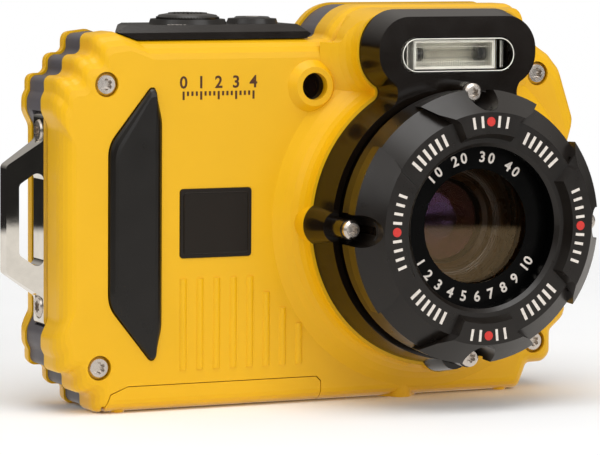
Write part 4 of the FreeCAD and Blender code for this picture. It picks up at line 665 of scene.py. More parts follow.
class Grower(Nodes):
    """A Geometry Nodes tree with an input for each size of a pattern, and the plain mesh that it grows."""

    def __init__(self, pattern: type) -> None:
        """Start a tree with a geometry output, a finish input and the pattern's sizes.

        Args:
            pattern: The kind of pattern; its count is a whole number.
        """
        super().__init__(bpy.data.node_groups.new(pattern.__name__.lower(), "GeometryNodeTree"))
        interface = self.tree.interface
        interface.new_socket("Geometry", in_out="OUTPUT", socket_type="NodeSocketGeometry")
        interface.new_socket("Finish", in_out="INPUT", socket_type="NodeSocketMaterial")
        self.inputs = self.tree.nodes.new("NodeGroupInput")
        self.result = self.tree.nodes.new("NodeGroupOutput")
        for size in fields(pattern):
            kind = "NodeSocketInt" if size.name == "count" else "NodeSocketFloat"
            interface.new_socket(size.name.title(), in_out="INPUT", socket_type=kind)

    def __getitem__(self, name: str) -> Socket:
        """Give the socket of a named input."""
        return self.inputs.outputs[name]

    def vector(self, *parts: Socket | None) -> Socket:
        """Put up to three values together as a vector."""
        links = {index: part for index, part in enumerate(parts) if part is not None}
        return self.node("ShaderNodeCombineXYZ", links).outputs[0]

    def close(self, geometry: Socket) -> "Grower":
        """End the tree with real meshes that carry the finish.

        Args:
            geometry: What the tree has made.

        Returns:
            The closed tree.
        """
        real = self.node("GeometryNodeRealizeInstances", {"Geometry": geometry})
        dressed = self.node("GeometryNodeSetMaterial", {"Geometry": real.outputs[0], "Material": self["Finish"]})
        self.link(dressed.outputs[0], self.result.inputs[0])
        return self

    def stand_bars(self, positions: Socket, turns: Socket | None = None) -> "Grower":
        """Stand Count bars of Width by Length by Depth at their places, and close the tree.

        Args:
            positions: The place of each bar.
            turns: The turn of each bar, or None for bars that aren't turned.

        Returns:
            The closed tree.
        """
        points = self.node("GeometryNodePoints", {"Count": self["Count"]})
        spots = self.node("GeometryNodeSetPosition", {"Geometry": points.outputs[0], "Position": positions})
        size = self.vector(self["Width"], self["Length"], self["Depth"])
        bar = self.node("GeometryNodeMeshCube", {"Size": size})
        links = {"Points": spots.outputs[0], "Instance": bar.outputs[0]}
        if turns is not None:
            links["Rotation"] = turns
        return self.close(self.node("GeometryNodeInstanceOnPoints", links).outputs[0])

    def draw_wire(self, path: Socket, sides: int, ends: bool) -> "Grower":
        """Draw a round wire of radius Wire along a path, and close the tree.

        Args:
            path: The path.
            sides: How many sides the wire's section has.
            ends: Whether the wire's ends are closed.

        Returns:
            The closed tree.
        """
        section = self.node("GeometryNodeCurvePrimitiveCircle", {"Radius": self["Wire"]}, Resolution=sides)
        links = {"Curve": path, "Profile Curve": section.outputs[0]}
        return self.close(self.node("GeometryNodeCurveToMesh", links, Fill_Caps=ends).outputs[0])

    def grow(self, pattern: object, finish: Material, place: Matrix) -> Mesh:
        """Run the tree and keep its result as a plain mesh.

        Args:
            pattern: The sizes of the result.
            finish: The material of the result.
            place: Where the result goes, from the tree's own place.

        Returns:
            The mesh, with no modifier behind it.
        """
        carrier = bpy.data.objects.new("carrier", bpy.data.meshes.new("carrier"))
        bpy.context.scene.collection.objects.link(carrier)
        modifier = carrier.modifiers.new("grow", "NODES")
        modifier.node_group = self.tree
        keys = {item.name: item.identifier for item in self.tree.interface.items_tree if item.in_out == "INPUT"}
        modifier[keys["Finish"]] = finish
        for name, value in vars(pattern).items():
            modifier[keys[name.title()]] = value
        bpy.context.view_layer.update()
        grown = bpy.data.meshes.new_from_object(carrier.evaluated_get(bpy.context.evaluated_depsgraph_get()))
        bpy.data.objects.remove(carrier)
        return placed(grown, place)


def ring_of_bars() -> Grower:
    """Make the tree for bars round a circle, each of which points outwards.

    Returns:
        The closed tree.
    """
    tree = Grower(Ring)
    index = tree.node("GeometryNodeInputIndex").outputs[0]
    angle = tree.maths("ADD", tree.maths("MULTIPLY", index, tree["Step"]), tree["First"])
    spot = [tree.maths("MULTIPLY", tree.maths(part, angle), tree["Radius"]) for part in ("SINE", "COSINE")]
    return tree.stand_bars(tree.vector(*spot), tree.vector(None, None, tree.maths("MULTIPLY", angle, -1.0)))


def row_of_bars() -> Grower:
    """Make the tree for a row of bars about the middle.

    Returns:
        The closed tree.
    """
    tree = Grower(Bars)
    index = tree.node("GeometryNodeInputIndex").outputs[0]
    middle = tree.maths("MULTIPLY", tree.maths("SUBTRACT", tree["Count"], 1.0), 0.5)
    return tree.stand_bars(tree.vector(tree.maths("MULTIPLY", tree.maths("SUBTRACT", index, middle), tree["Pitch"])))


def field_of_dots() -> Grower:
    """Make the tree for a field of dots, of which those inside Reach are kept.

    Returns:
        The closed tree.
    """
    tree = Grower(Dots)
    count = tree["Count"]
    side = tree.maths("MULTIPLY", tree.maths("SUBTRACT", count, 1.0), tree["Pitch"])
    links = {"Size X": side, "Size Y": side, "Vertices X": count, "Vertices Y": count}
    grid = tree.node("GeometryNodeMeshGrid", links).outputs["Mesh"]
    place = tree.node("GeometryNodeInputPosition").outputs[0]
    outside = tree.maths("GREATER_THAN", tree.length(place), tree["Reach"])
    kept = tree.node("GeometryNodeDeleteGeometry", {"Geometry": grid, "Selection": outside}, domain="POINT")
    links = {"Radius": tree["Radius"], "Depth": tree["Depth"]}
    dot = tree.node("GeometryNodeMeshCylinder", links, Vertices=DOT_SIDES).outputs["Mesh"]
    dots = tree.node("GeometryNodeInstanceOnPoints", {"Points": kept.outputs[0], "Instance": dot})
    return tree.close(dots.outputs[0])


def bead_round_slot() -> Grower:
    """Make the tree for a bead along a rounded rectangle.

    Returns:
        The closed tree.
    """
    tree = Grower(Bead)
    links = {"Width": tree["Width"], "Height": tree["Height"]}
    outline = tree.node("GeometryNodeCurvePrimitiveQuadrilateral", links).outputs[0]
    links = {"Curve": outline, "Radius": tree["Corner"]}
    fillet = tree.node("GeometryNodeFilletCurve", links, mode="POLY", Count=CORNER_STEPS)
    return tree.draw_wire(fillet.outputs[0], BEAD_SIDES, False)


def wire_coil() -> Grower:
    """Make the tree for a wire in a coil round the origin.

    Returns:
        The closed tree.
    """
    tree = Grower(Coil)
    links = {"Rotations": tree["Turns"], "Height": tree["Height"]}
    links.update({"Start Radius": tree["Radius"], "End Radius": tree["Radius"]})
    path = tree.node("GeometryNodeCurveSpiral", links, Resolution=COIL_STEPS)
    return tree.draw_wire(path.outputs[0], COIL_SIDES, True)


def step(x: float = 0.0, y: float = 0.0, z: float = 0.0) -> Vector:
    """Give a step from one place to another."""
    return Vector((x, y, z))


def turned(degrees: float) -> Matrix:
    """Turn a flat pattern about its own axis."""
    return Matrix.Rotation(math.radians(degrees), 4, "Z")


def facing_front(centre: Vector) -> Matrix:
    """Turn a flat pattern to face the front, with its +Y up, about a point."""
    return Matrix.Translation(centre) @ Matrix.Rotation(math.pi / 2, 4, "X")


def facing_back(centre: Vector) -> Matrix:
    """Turn a flat pattern to face the back, with its +Y up, about a point."""
    return Matrix.Translation(centre) @ turned(180) @ Matrix.Rotation(math.pi / 2, 4, "X")


def facing_down(centre: Vector) -> Matrix:
    """Turn a flat pattern to face the floor, about a point."""
    return Matrix.Translation(centre) @ Matrix.Rotation(math.pi, 4, "X")


def facing_up(centre: Vector) -> Matrix:
    """Leave a flat pattern facing up, with its +Y to the back, about a point."""
    return Matrix.Translation(centre)


def disc_outline(radius: float, centre: tuple[float, float] = (0, 0), segments: int = 40) -> Outline:
    """Give the corners of a round disc."""
    angles = [2 * math.pi * index / segments for index in range(segments)]
    return [(centre[0] + radius * math.cos(angle), centre[1] + radius * math.sin(angle)) for angle in angles]


def sector_outline(inner: float, outer: float, first_deg: float, last_deg: float, steps: int = 24) -> Outline:
    """Give the corners of a flat open ring.

    Args:
        inner: Its inner radius.
        outer: Its outer radius.
        first_deg: The angle at which it starts, from +Y towards +X.
        last_deg: The angle at which it ends.
        steps: How many steps its arc has.

    Returns:
        The corners, once round.
    """
    angles = [math.radians(first_deg + (last_deg - first_deg) * index / steps) for index in range(steps + 1)]
    there = [(outer * math.sin(angle), outer * math.cos(angle)) for angle in angles]
    return there + [(inner * math.sin(angle), inner * math.cos(angle)) for angle in reversed(angles)]


def triangle(reach: float, turn_deg: float, centre: tuple[float, float] = (0, 0)) -> Outline:
    """Give the corners of a small triangle that points along an angle from +X."""
    angles = [math.radians(turn_deg + corner) for corner in (0, 120, 240)]
    return [(centre[0] + reach * math.cos(angle), centre[1] + reach * math.sin(angle)) for angle in angles]


def to_mesh(shape: bmesh.types.BMesh, name: str) -> Mesh:
    """Turn a worked shape into a mesh whose faces point outwards.

    Args:
        shape: The shape, which is freed.
        name: The mesh's name.

    Returns:
        The mesh.
    """
    bmesh.ops.recalc_face_normals(shape, faces=shape.faces)
    mesh = bpy.data.meshes.new(name)
    shape.to_mesh(mesh)
    shape.free()
    return mesh


def placed(mesh: Mesh, place: Matrix) -> Mesh:
    """Move a mesh to its place and return it."""
    mesh.transform(place)
    return mesh


def flat_shape(outline: Outline, depth: float) -> Mesh:
    """Make a closed flat plate from an outline.

    Args:
        outline: Its corners across Z.
        depth: Its thickness, from z 0 upwards.

    Returns:
        The plate's mesh.
    """
    shape = bmesh.new()
    floor = [shape.verts.new((x, y, 0)) for x, y in outline]
    top = [shape.verts.new((x, y, depth)) for x, y in outline]
    shape.faces.new(top)
    shape.faces.new(floor[::-1])
    for index in range(len(outline)):
        after = (index + 1) % len(outline)
        shape.faces.new((floor[index], floor[after], top[after], top[index]))
    return to_mesh(shape, "flat_shape")


def turned_shape(profile: Outline, segments: int = ROUND_SEGMENTS) -> Mesh:
    """Make a ring or a bowl by turning a closed profile round Z.

    Args:
        profile: Corners as radius and height, going round the section once.
        segments: How many steps the turn has.

    Returns:
        The closed ring's mesh.
    """
    shape = bmesh.new()
    rows = []
    for index in range(segments):
        angle = 2 * math.pi * index / segments
        rows.append([shape.verts.new((r * math.cos(angle), r * math.sin(angle), z)) for r, z in profile])
    for index, row in enumerate(rows):
        after = rows[(index + 1) % segments]
        for corner in range(len(profile)):
            follow = (corner + 1) % len(profile)
            shape.faces.new((row[corner], row[follow], after[follow], after[corner]))
    bmesh.ops.remove_doubles(shape, verts=shape.verts, dist=MERGE_GAP)
    return to_mesh(shape, "turned_shape")


def glyph(sign: str, height: float) -> Mesh:
    """Make one printed digit, upright across Z, on its baseline and centred on X.

    Args:
        sign: The digit.
        height: How tall it stands.

    Returns:
        The digit's mesh, as thick as the ink.
    """
    curve = bpy.data.curves.new("digit", "FONT")
    curve.body = sign
    curve.align_x = "CENTER"
    curve.size = height / DIGIT_SHARE
    curve.extrude = PRINT_HEIGHT / 2
    curve.offset = height * PRINT_BOLDNESS
    curve.resolution_u = DIGIT_STEPS
    carrier = bpy.data.objects.new("digit", curve)
    bpy.context.scene.collection.objects.link(carrier)
    bpy.context.view_layer.update()
    mesh = bpy.data.meshes.new_from_object(carrier.evaluated_get(bpy.context.evaluated_depsgraph_get()))
    bpy.data.objects.remove(carrier)
    bpy.data.curves.remove(curve)
    return mesh


def digit_arc(signs: str, radius: float, middle_deg: float, step_deg: float, height: float) -> list[Mesh]:
    """Set digits round a circle across Z, each upright as seen from the front.

    Args:
        signs: The digits; a space leaves a gap.
        radius: The circle that runs through the middles of the digits.
        middle_deg: The middle of the row, from +Y towards +X.
        step_deg: From one digit to the next, negative where the row runs back.
        height: How tall the digits stand.

    Returns:
        The digits' meshes.
    """
    first = middle_deg - step_deg * (len(signs) - 1) / 2
    meshes = []
    for index, sign in enumerate(signs):
        if sign == " ":
            continue
        degrees = first + index * step_deg
        angle = math.radians(degrees)
        spot = Matrix.Translation(step(radius * math.sin(angle), radius * math.cos(angle)))
        upright = turned(-degrees if step_deg > 0 else 180 - degrees) @ Matrix.Translation(step(y=-height / 2))
        meshes.append(placed(glyph(sign, height), spot @ upright))
    return meshes


class Workshop:
    """Turns meshes into dressed pieces that ride on a body."""

    def __init__(self, finishes: Finishes) -> None:
        """Keep the finishes and make the trees.

        Args:
            finishes: The material library.
        """
        self.finishes = finishes
        self.trees = {Ring: ring_of_bars(), Bars: row_of_bars(), Dots: field_of_dots()}
        self.trees.update({Bead: bead_round_slot(), Coil: wire_coil()})
        self.count = 0

    def grow(self, pattern: Bars | Ring | Dots | Bead | Coil, finish: Slot | Ink, place: Matrix) -> Mesh:
        """Grow a pattern in a finish at its place."""
        return self.trees[type(pattern)].grow(pattern, self.finishes.of(finish), place)

    def piece(
        self, name: str, meshes: Iterable[Mesh], finish: Slot | Ink, body: Body = Body.CASE,
        smooth: float | None = None, slot: Slot | None = None,
    ) -> bpy.types.Object:
        """Join meshes into one piece, dress it and let it ride.

        Args:
            name: The piece's name.
            meshes: Its parts, in their place.
            finish: The slot or ink that it is made of.
            body: The body that it rides on.
            smooth: The angle in degrees under which edges look round, or None for flat faces.
            slot: The record's slot where the finish is an ink; not used.

        Returns:
            The piece's object.
        """
        whole = bmesh.new()
        for mesh in meshes:
            whole.from_mesh(mesh)
            bpy.data.meshes.remove(mesh)
        joined = bpy.data.meshes.new(name)
        whole.to_mesh(joined)
        whole.free()
        joined.materials.clear()
        joined.materials.append(self.finishes.of(finish))
        for polygon in joined.polygons:
            polygon.material_index = 0
        if smooth is not None:
            joined.shade_smooth()
            joined.set_sharp_from_angle(angle=math.radians(smooth))
        made = bpy.data.objects.new(name, joined)
        bpy.context.scene.collection.objects.link(made)
        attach(made, body.value)
        self.count += 1
        LOG.info("%s: %d faces on %s", name, len(joined.polygons), body.value)
        return made


@dataclass
class LensDial:
    """The printed marks of the ring round the lens window."""

    pads: tuple[Ring, Ring] = (
        Ring(2, math.radians(5), 19.3 * MM, 2.1 * MM, 0.5 * MM),
        Ring(4, math.radians(5), 18.65 * MM, 1.75 * MM, 0.5 * MM),
    )
    face: Ring = Ring(6, math.radians(4.6), 17.95 * MM, 2.35 * MM, 0.58 * MM)
    face_middle_deg: float = 38.9
    face_depth: float = 1.9 * MM
    dot_radius: float = 0.83 * MM
    dot_height: float = 1.6 * PRINT_HEIGHT
    box: Box = box_of("lens_ring")

    def build(self, shop: Workshop) -> None:
        """Print the ticks on the pads and between them, and the dots.

        Args:
            shop: The workshop that makes the pieces.
        """
        pad = facing_front(self.box.front)
        face = facing_front(self.box.front + step(y=self.face_depth))
        ticks, dots = [], []
        for quarter in range(4):
            odd = quarter % 2
            row = self.pads[odd]
            beside = math.degrees(row.step) * (row.count + 1) / 2
            for side in (-1, 1):
                ticks.append(shop.grow(row.about(90 * quarter + side * beside), Ink.WHITE, pad))
            middle = 90 * (quarter - odd) + (1 - 2 * odd) * self.face_middle_deg
            ticks.append(shop.grow(self.face.about(middle), Ink.WHITE, face))
            angle = math.radians(90 * quarter)
            outline = disc_outline(self.dot_radius, (row.radius * math.sin(angle), row.radius * math.cos(angle)))
            dots.append(placed(flat_shape(outline, self.dot_height), pad))
        shop.piece("dial_ticks", ticks, Ink.WHITE, slot=Slot.RING)
        shop.piece("dial_dots", dots, Ink.RED, slot=Slot.RING)


@dataclass
class LensOptics:
    """The black mask and its scale, painted shade on the ring's lip, and the baffles and iris behind the window."""

    lip_radius: float = 14.7 * MM
    shade_sheet_wall: float = 0.1 * MM
    shade_sheet_start: float = 0.02 * MM
    shade_sheet_stop: float = 2.65 * MM
    digits_radius: float = 12.7 * MM
    digit_height: float = 1.9 * MM
    arcs: tuple[tuple[str, float, float], ...] = (("10 20 30 40", -3, 8.6), ("1 2 3 4 5 6 7 8 9 10", 181, -6.3))
    baffles: int = 9
    baffle_outer: float = 12.2 * MM
    baffle_step: float = 0.42 * MM
    baffle_share: float = 0.7
    baffle_rise: float = 0.46 * MM
    baffle_fall: float = 0.055 * MM
    baffle_slope: tuple[float, float] = (0.06 * MM, 0.03 * MM)
    baffle_foot: float = 0.08 * MM
    iris_radius: float = 3.1 * MM
    iris_inset: float = 0.9 * MM
    iris_behind: float = 0.5 * MM
    iris_heights: tuple[float, float] = (0.15 * MM, 0.25 * MM)
    ring: Box = box_of("lens_ring")
    retainer: Box = box_of("window_retainer")
    barrel: Box = box_of("front_barrel")
    glass: Box = box_of("front_lens")

    def build(self, shop: Workshop) -> None:
        """Make the sheet of painted shade on the ring's lip, the mask's digits, and what shows through the window.

        Args:
            shop: The workshop that makes the pieces.
        """
        middle = self.retainer.middle
        mask = facing_front(self.retainer.front)
        # A near-black sheet over the inner wall of the ring's lip paints the shade that lies in the recess.
        depth = self.retainer.low.y - self.ring.low.y - self.shade_sheet_stop
        inner, outer = self.lip_radius - self.shade_sheet_wall, self.lip_radius + SINK
        shade_sheet = [(inner, self.shade_sheet_start), (outer, self.shade_sheet_start), (outer, depth), (inner, depth)]
        shop.piece("mask_painted_shade_sheet", [placed(turned_shape(shade_sheet), mask)], Slot.MASK, smooth=40)
        digits = []
        for signs, middle_deg, step_deg in self.arcs:
            digits += digit_arc(signs, self.digits_radius, middle_deg, step_deg, self.digit_height)
        shop.piece("mask_digits", [placed(mesh, mask) for mesh in digits], Ink.WHITE, slot=Slot.MASK)
        front = facing_front(step(middle.x, self.barrel.low.y, middle.z))
        rings = [placed(turned_shape(self.baffle(index)), front) for index in range(self.baffles)]
        shop.piece("lens_baffles", rings, Slot.BARREL, Body.INNER_BARREL, smooth=35)
        edge = self.glass.high.x - middle.x - self.iris_inset
        thin, thick = self.iris_heights
        blades = turned_shape([(self.iris_radius, 0), (edge, 0), (edge, thin), (self.iris_radius, thick)])
        behind = facing_front(step(middle.x, self.glass.high.y + self.iris_behind, middle.z))
        shop.piece("iris_blades", [placed(blades, behind)], Slot.BARREL, Body.INNER_BARREL, smooth=30)

    def baffle(self, index: int) -> Outline:
        """Give the section of one baffle.

        Args:
            index: Its number, from the widest inwards.

        Returns:
            The corners of its section.
        """
        outer = self.baffle_outer - index * self.baffle_step
        inner = outer - self.baffle_step * self.baffle_share
        rise = self.baffle_rise - index * self.baffle_fall
        across, up = self.baffle_slope
        return [(inner, -SINK), (outer, -SINK), (outer, rise), (outer - across, rise + up), (inner, self.baffle_foot)]


@dataclass
class FlashParts:
    """Painted highlights on the flash window's rims, the pleats in front of the tube and the tube's end fittings."""

    rim_inset: float = 0.5 * MM
    rim_corner_inset: float = 0.3 * MM
    rim_wire: float = 0.09 * MM
    lip_inset: float = 0.3 * MM
    lip_corner: float = 0.25 * MM
    lip_wire: float = 0.16 * MM
    upright: Bars = Bars(4.9 * MM, 0.22 * MM, 0.2 * MM)
    upright_off: float = 9.6 * MM
    pleats: Bars = Bars(4.2 * MM, 0.207 * MM, 0.25 * MM, count=34, pitch=0.46 * MM)
    pleats_behind: float = 0.75 * MM
    wires_behind: float = 1.3 * MM
    wires_apart: float = 2.7 * MM
    wires_inset: float = 1.4 * MM
    wire: float = 0.1 * MM
    sleeve_inset: float = 1.2 * MM
    sleeve_reach: float = 0.9 * MM
    sleeve_radii: Point = (0.9 * MM, 1.25 * MM, 1.35 * MM)
    window: Box = box_of("flash_window")
    mirror: Box = box_of("flash_reflector")
    tube: Box = box_of("flash_tube")

    def build(self, shop: Workshop) -> None:
        """Make the white rims that paint highlights, the pleats and the fittings.

        Args:
            shop: The workshop that makes the pieces.
        """
        corner = self.window.size.z / 2 - self.rim_corner_inset
        rim = Bead.inside(self.window, self.rim_inset, corner, self.rim_wire)
        lip = Bead.inside(self.mirror, self.lip_inset, self.lip_corner, self.lip_wire)
        # Partly real edges, partly painted highlight: white beads and bars along the window's edge and the reflector's
        # mouth stand for the highlights there.
        rims = [
            shop.grow(rim, Slot.BRIGHT, facing_front(self.window.front)),
            shop.grow(lip, Slot.BRIGHT, facing_front(self.mirror.front)),
        ]
        for side in (-1, 1):
            x = self.window.middle.x + side * self.upright_off
            place = facing_front(step(x, self.mirror.low.y, self.window.middle.z))
            rims.append(shop.grow(self.upright, Slot.BRIGHT, place))
        shop.piece("flash_rims_painted_highlight", rims, Slot.BRIGHT, smooth=40)
        inside = facing_front(self.mirror.front + step(y=self.pleats_behind))
        shop.piece("flash_pleats", [shop.grow(self.pleats, Slot.CLEAR, inside)], Slot.CLEAR)
        back = facing_front(self.mirror.front + step(y=self.wires_behind)) @ turned(90)
        wires = Bars(self.mirror.size.x - self.wires_inset, self.wire, self.wire, 2, self.wires_apart)
        shop.piece("flash_wires", [shop.grow(wires, Slot.BRIGHT, back)], Slot.BRIGHT)
        inner, outer, crown = self.sleeve_radii
        reach = self.sleeve_reach
        sleeve = [(inner, -reach), (outer, -reach), (crown, 0), (outer, reach), (inner, reach)]
        fittings = []
        for side in (-1, 1):
            end = self.tube.middle + step(x=side * (self.tube.size.x / 2 - self.sleeve_inset))
            turn = Matrix.Translation(end) @ Matrix.Rotation(math.pi / 2, 4, "Y")
            fittings.append(placed(turned_shape(sleeve, SLEEVE_SEGMENTS), turn))
        shop.piece("tube_fittings", fittings, Slot.SLEEVE, smooth=50)


@dataclass
class FrontMarks:
    """The plain scale on the front, the badge's border and the lamp's inner ring."""

    first: Point = (-45.0 * MM, -5.5 * MM, 58.3 * MM)
    digits: tuple[str, ...] = ("0", "1", "2", "3", "4")
    digit_height: float = 2.2 * MM
    bars_below: float = 1.35 * MM
    bars_per_digit: int = 4
    bar_pitch: float = 0.86 * MM
    bar_width: float = 0.4 * MM
    long_bar: float = 1.5 * MM
    short_bar: float = 0.8 * MM
    short_height: float = 1.9 * PRINT_HEIGHT
    badge_inset: float = 1.4 * MM
    badge_corner: float = 0.6 * MM
    badge_wire: float = 0.12 * MM
    lamp_foot: tuple[float, float] = (1.0 * MM, 1.5 * MM)
    lamp_crown: tuple[float, float] = (1.1 * MM, 1.4 * MM)
    lamp_rise: float = 0.12 * MM
    badge: Box = box_of("badge_plate")
    lamp: Box = box_of("lamp_window")

    def build(self, shop: Workshop) -> None:
        """Print the scale and border the badge and the lamp.

        Args:
            shop: The workshop that makes the pieces.
        """
        first, pitch = Vector(self.first), self.bars_per_digit * self.bar_pitch
        scale = []
        for index, sign in enumerate(self.digits):
            scale.append(placed(glyph(sign, self.digit_height), facing_front(first + step(x=index * pitch))))
        gaps = len(self.digits) - 1
        middle = first + step(x=pitch * gaps / 2, z=-self.bars_below)
        long = Bars(self.long_bar, self.bar_width, STROKE_HEIGHT, len(self.digits), pitch)
        scale.append(shop.grow(long, Ink.DARK, facing_front(middle)))
        bars = self.bars_per_digit * gaps + 1
        short = Bars(self.short_bar, self.bar_width, self.short_height, bars, self.bar_pitch)
        level = facing_front(middle + step(z=(self.long_bar - self.short_bar) / 2))
        scale.append(shop.grow(short, Ink.DARK, level))
        shop.piece("front_scale", scale, Ink.DARK, slot=Slot.SHELL)
        bead = Bead.inside(self.badge, self.badge_inset, self.badge_corner, self.badge_wire)
        border = shop.grow(bead, Slot.BADGE, facing_front(self.badge.front))
        shop.piece("badge_border", [border], Slot.BADGE, smooth=50)
        (foot_in, foot_out), (crown_in, crown_out) = self.lamp_foot, self.lamp_crown
        ring = [(foot_in, -SINK), (foot_out, -SINK), (crown_out, self.lamp_rise), (crown_in, self.lamp_rise)]
        eye = facing_front(self.lamp.front)
        shop.piece("lamp_ring", [placed(turned_shape(ring, SMALL_SEGMENTS), eye)], Slot.SMOKED, smooth=40)


@dataclass
class TopControls:
    """Knurls, pebbles, marks and spring of the buttons on the top panel."""

    knurls: int = 64
    knurl_below: float = 1.25 * MM
    knurl_inset: float = 0.12 * MM
    knurl_size: Point = (0.3 * MM, 0.26 * MM, 1.0 * MM)
    pebbles: Dots = Dots(15, 0.62 * MM, 3.5 * MM, 0.2 * MM, 0.14 * MM)
    pebble_sink: float = 0.06 * MM
    power_arc: tuple[float, float, float, float] = (0.9 * MM, 1.2 * MM, 35, 325)
    power_bar: Bars = Bars(0.9 * MM, 0.28 * MM, PRINT_HEIGHT)
    power_bar_up: float = 0.95 * MM
    mark: Bars = Bars(0.9 * MM, 0.36 * MM, count=5, pitch=0.75 * MM)
    mark_off: tuple[float, float] = (-4.8 * MM, 2.4 * MM)
    holes: Dots = Dots(3, 0.7 * MM, 0.8 * MM, 0.2 * MM)
    holes_off: tuple[float, float] = (5.4 * MM, 3.2 * MM)
    spring_wire: float = 0.22 * MM
    spring_turns: float = 2.6
    spring_pressed: float = 0.24
    shutter: Box = box_of("shutter_button")
    power: Box = box_of("power_button")
    panel: Box = box_of("top_panel")
    spring: Box = box_of("shutter_spring")

    def build(self, shop: Workshop) -> None:
        """Dress the two buttons and the panel, and wind the shutter's spring.

        Args:
            shop: The workshop that makes the pieces.
        """
        self.wind_spring(shop)
        radius = self.shutter.size.x / 2 - self.knurl_inset
        knurl = Ring(self.knurls, 2 * math.pi / self.knurls, radius, *self.knurl_size)
        flank = facing_up(self.shutter.top - step(z=self.knurl_below))
        shop.piece("shutter_knurl", [shop.grow(knurl, Slot.CONTROL, flank)], Slot.CONTROL, Body.SHUTTER)
        pebbles = shop.grow(self.pebbles, Slot.CONTROL, facing_up(self.shutter.top - step(z=self.pebble_sink)))
        shop.piece("shutter_pebbles", [pebbles], Slot.CONTROL, Body.SHUTTER)
        crown = facing_up(self.power.top)
        sign = [placed(flat_shape(sector_outline(*self.power_arc), PRINT_HEIGHT / 2), crown)]
        sign.append(shop.grow(self.power_bar, Ink.WHITE, crown @ Matrix.Translation(step(y=self.power_bar_up))))
        shop.piece("power_mark", sign, Ink.WHITE, Body.POWER, slot=Slot.CONTROL)
        across, inwards = self.mark_off
        mark = facing_up(step(self.shutter.middle.x + across, self.panel.low.y + inwards, self.panel.high.z))
        shop.piece("panel_mark", [shop.grow(self.mark, Ink.WHITE, mark)], Ink.WHITE, slot=Slot.HOUSING)
        # The microphone holes are flat dark dots laid on the panel; they paint the shade inside holes, and nothing is
        # cut.
        across, inwards = self.holes_off
        middle = self.power.middle
        holes = facing_up(step(middle.x + across, middle.y + inwards, self.panel.high.z))
        shop.piece("microphone_holes_painted_shade", [shop.grow(self.holes, Slot.SMOKED, holes)], Slot.SMOKED)

    def wind_spring(self, shop: Workshop) -> None:
        """Wind the spring under the shutter button.

        Args:
            shop: The workshop that makes the pieces.
        """
        size, wire = self.spring.size, self.spring_wire
        coil = Coil(self.spring_turns, size.x / 2 - wire, size.z - 2 * wire, wire)
        wound = shop.grow(coil, Slot.BRIGHT, facing_up(self.spring.foot + step(z=wire)))
        made = shop.piece("button_spring", [wound], Slot.BRIGHT, smooth=60)
        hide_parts("shutter_spring")
        tuple(self.spring.foot)
        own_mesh(made)


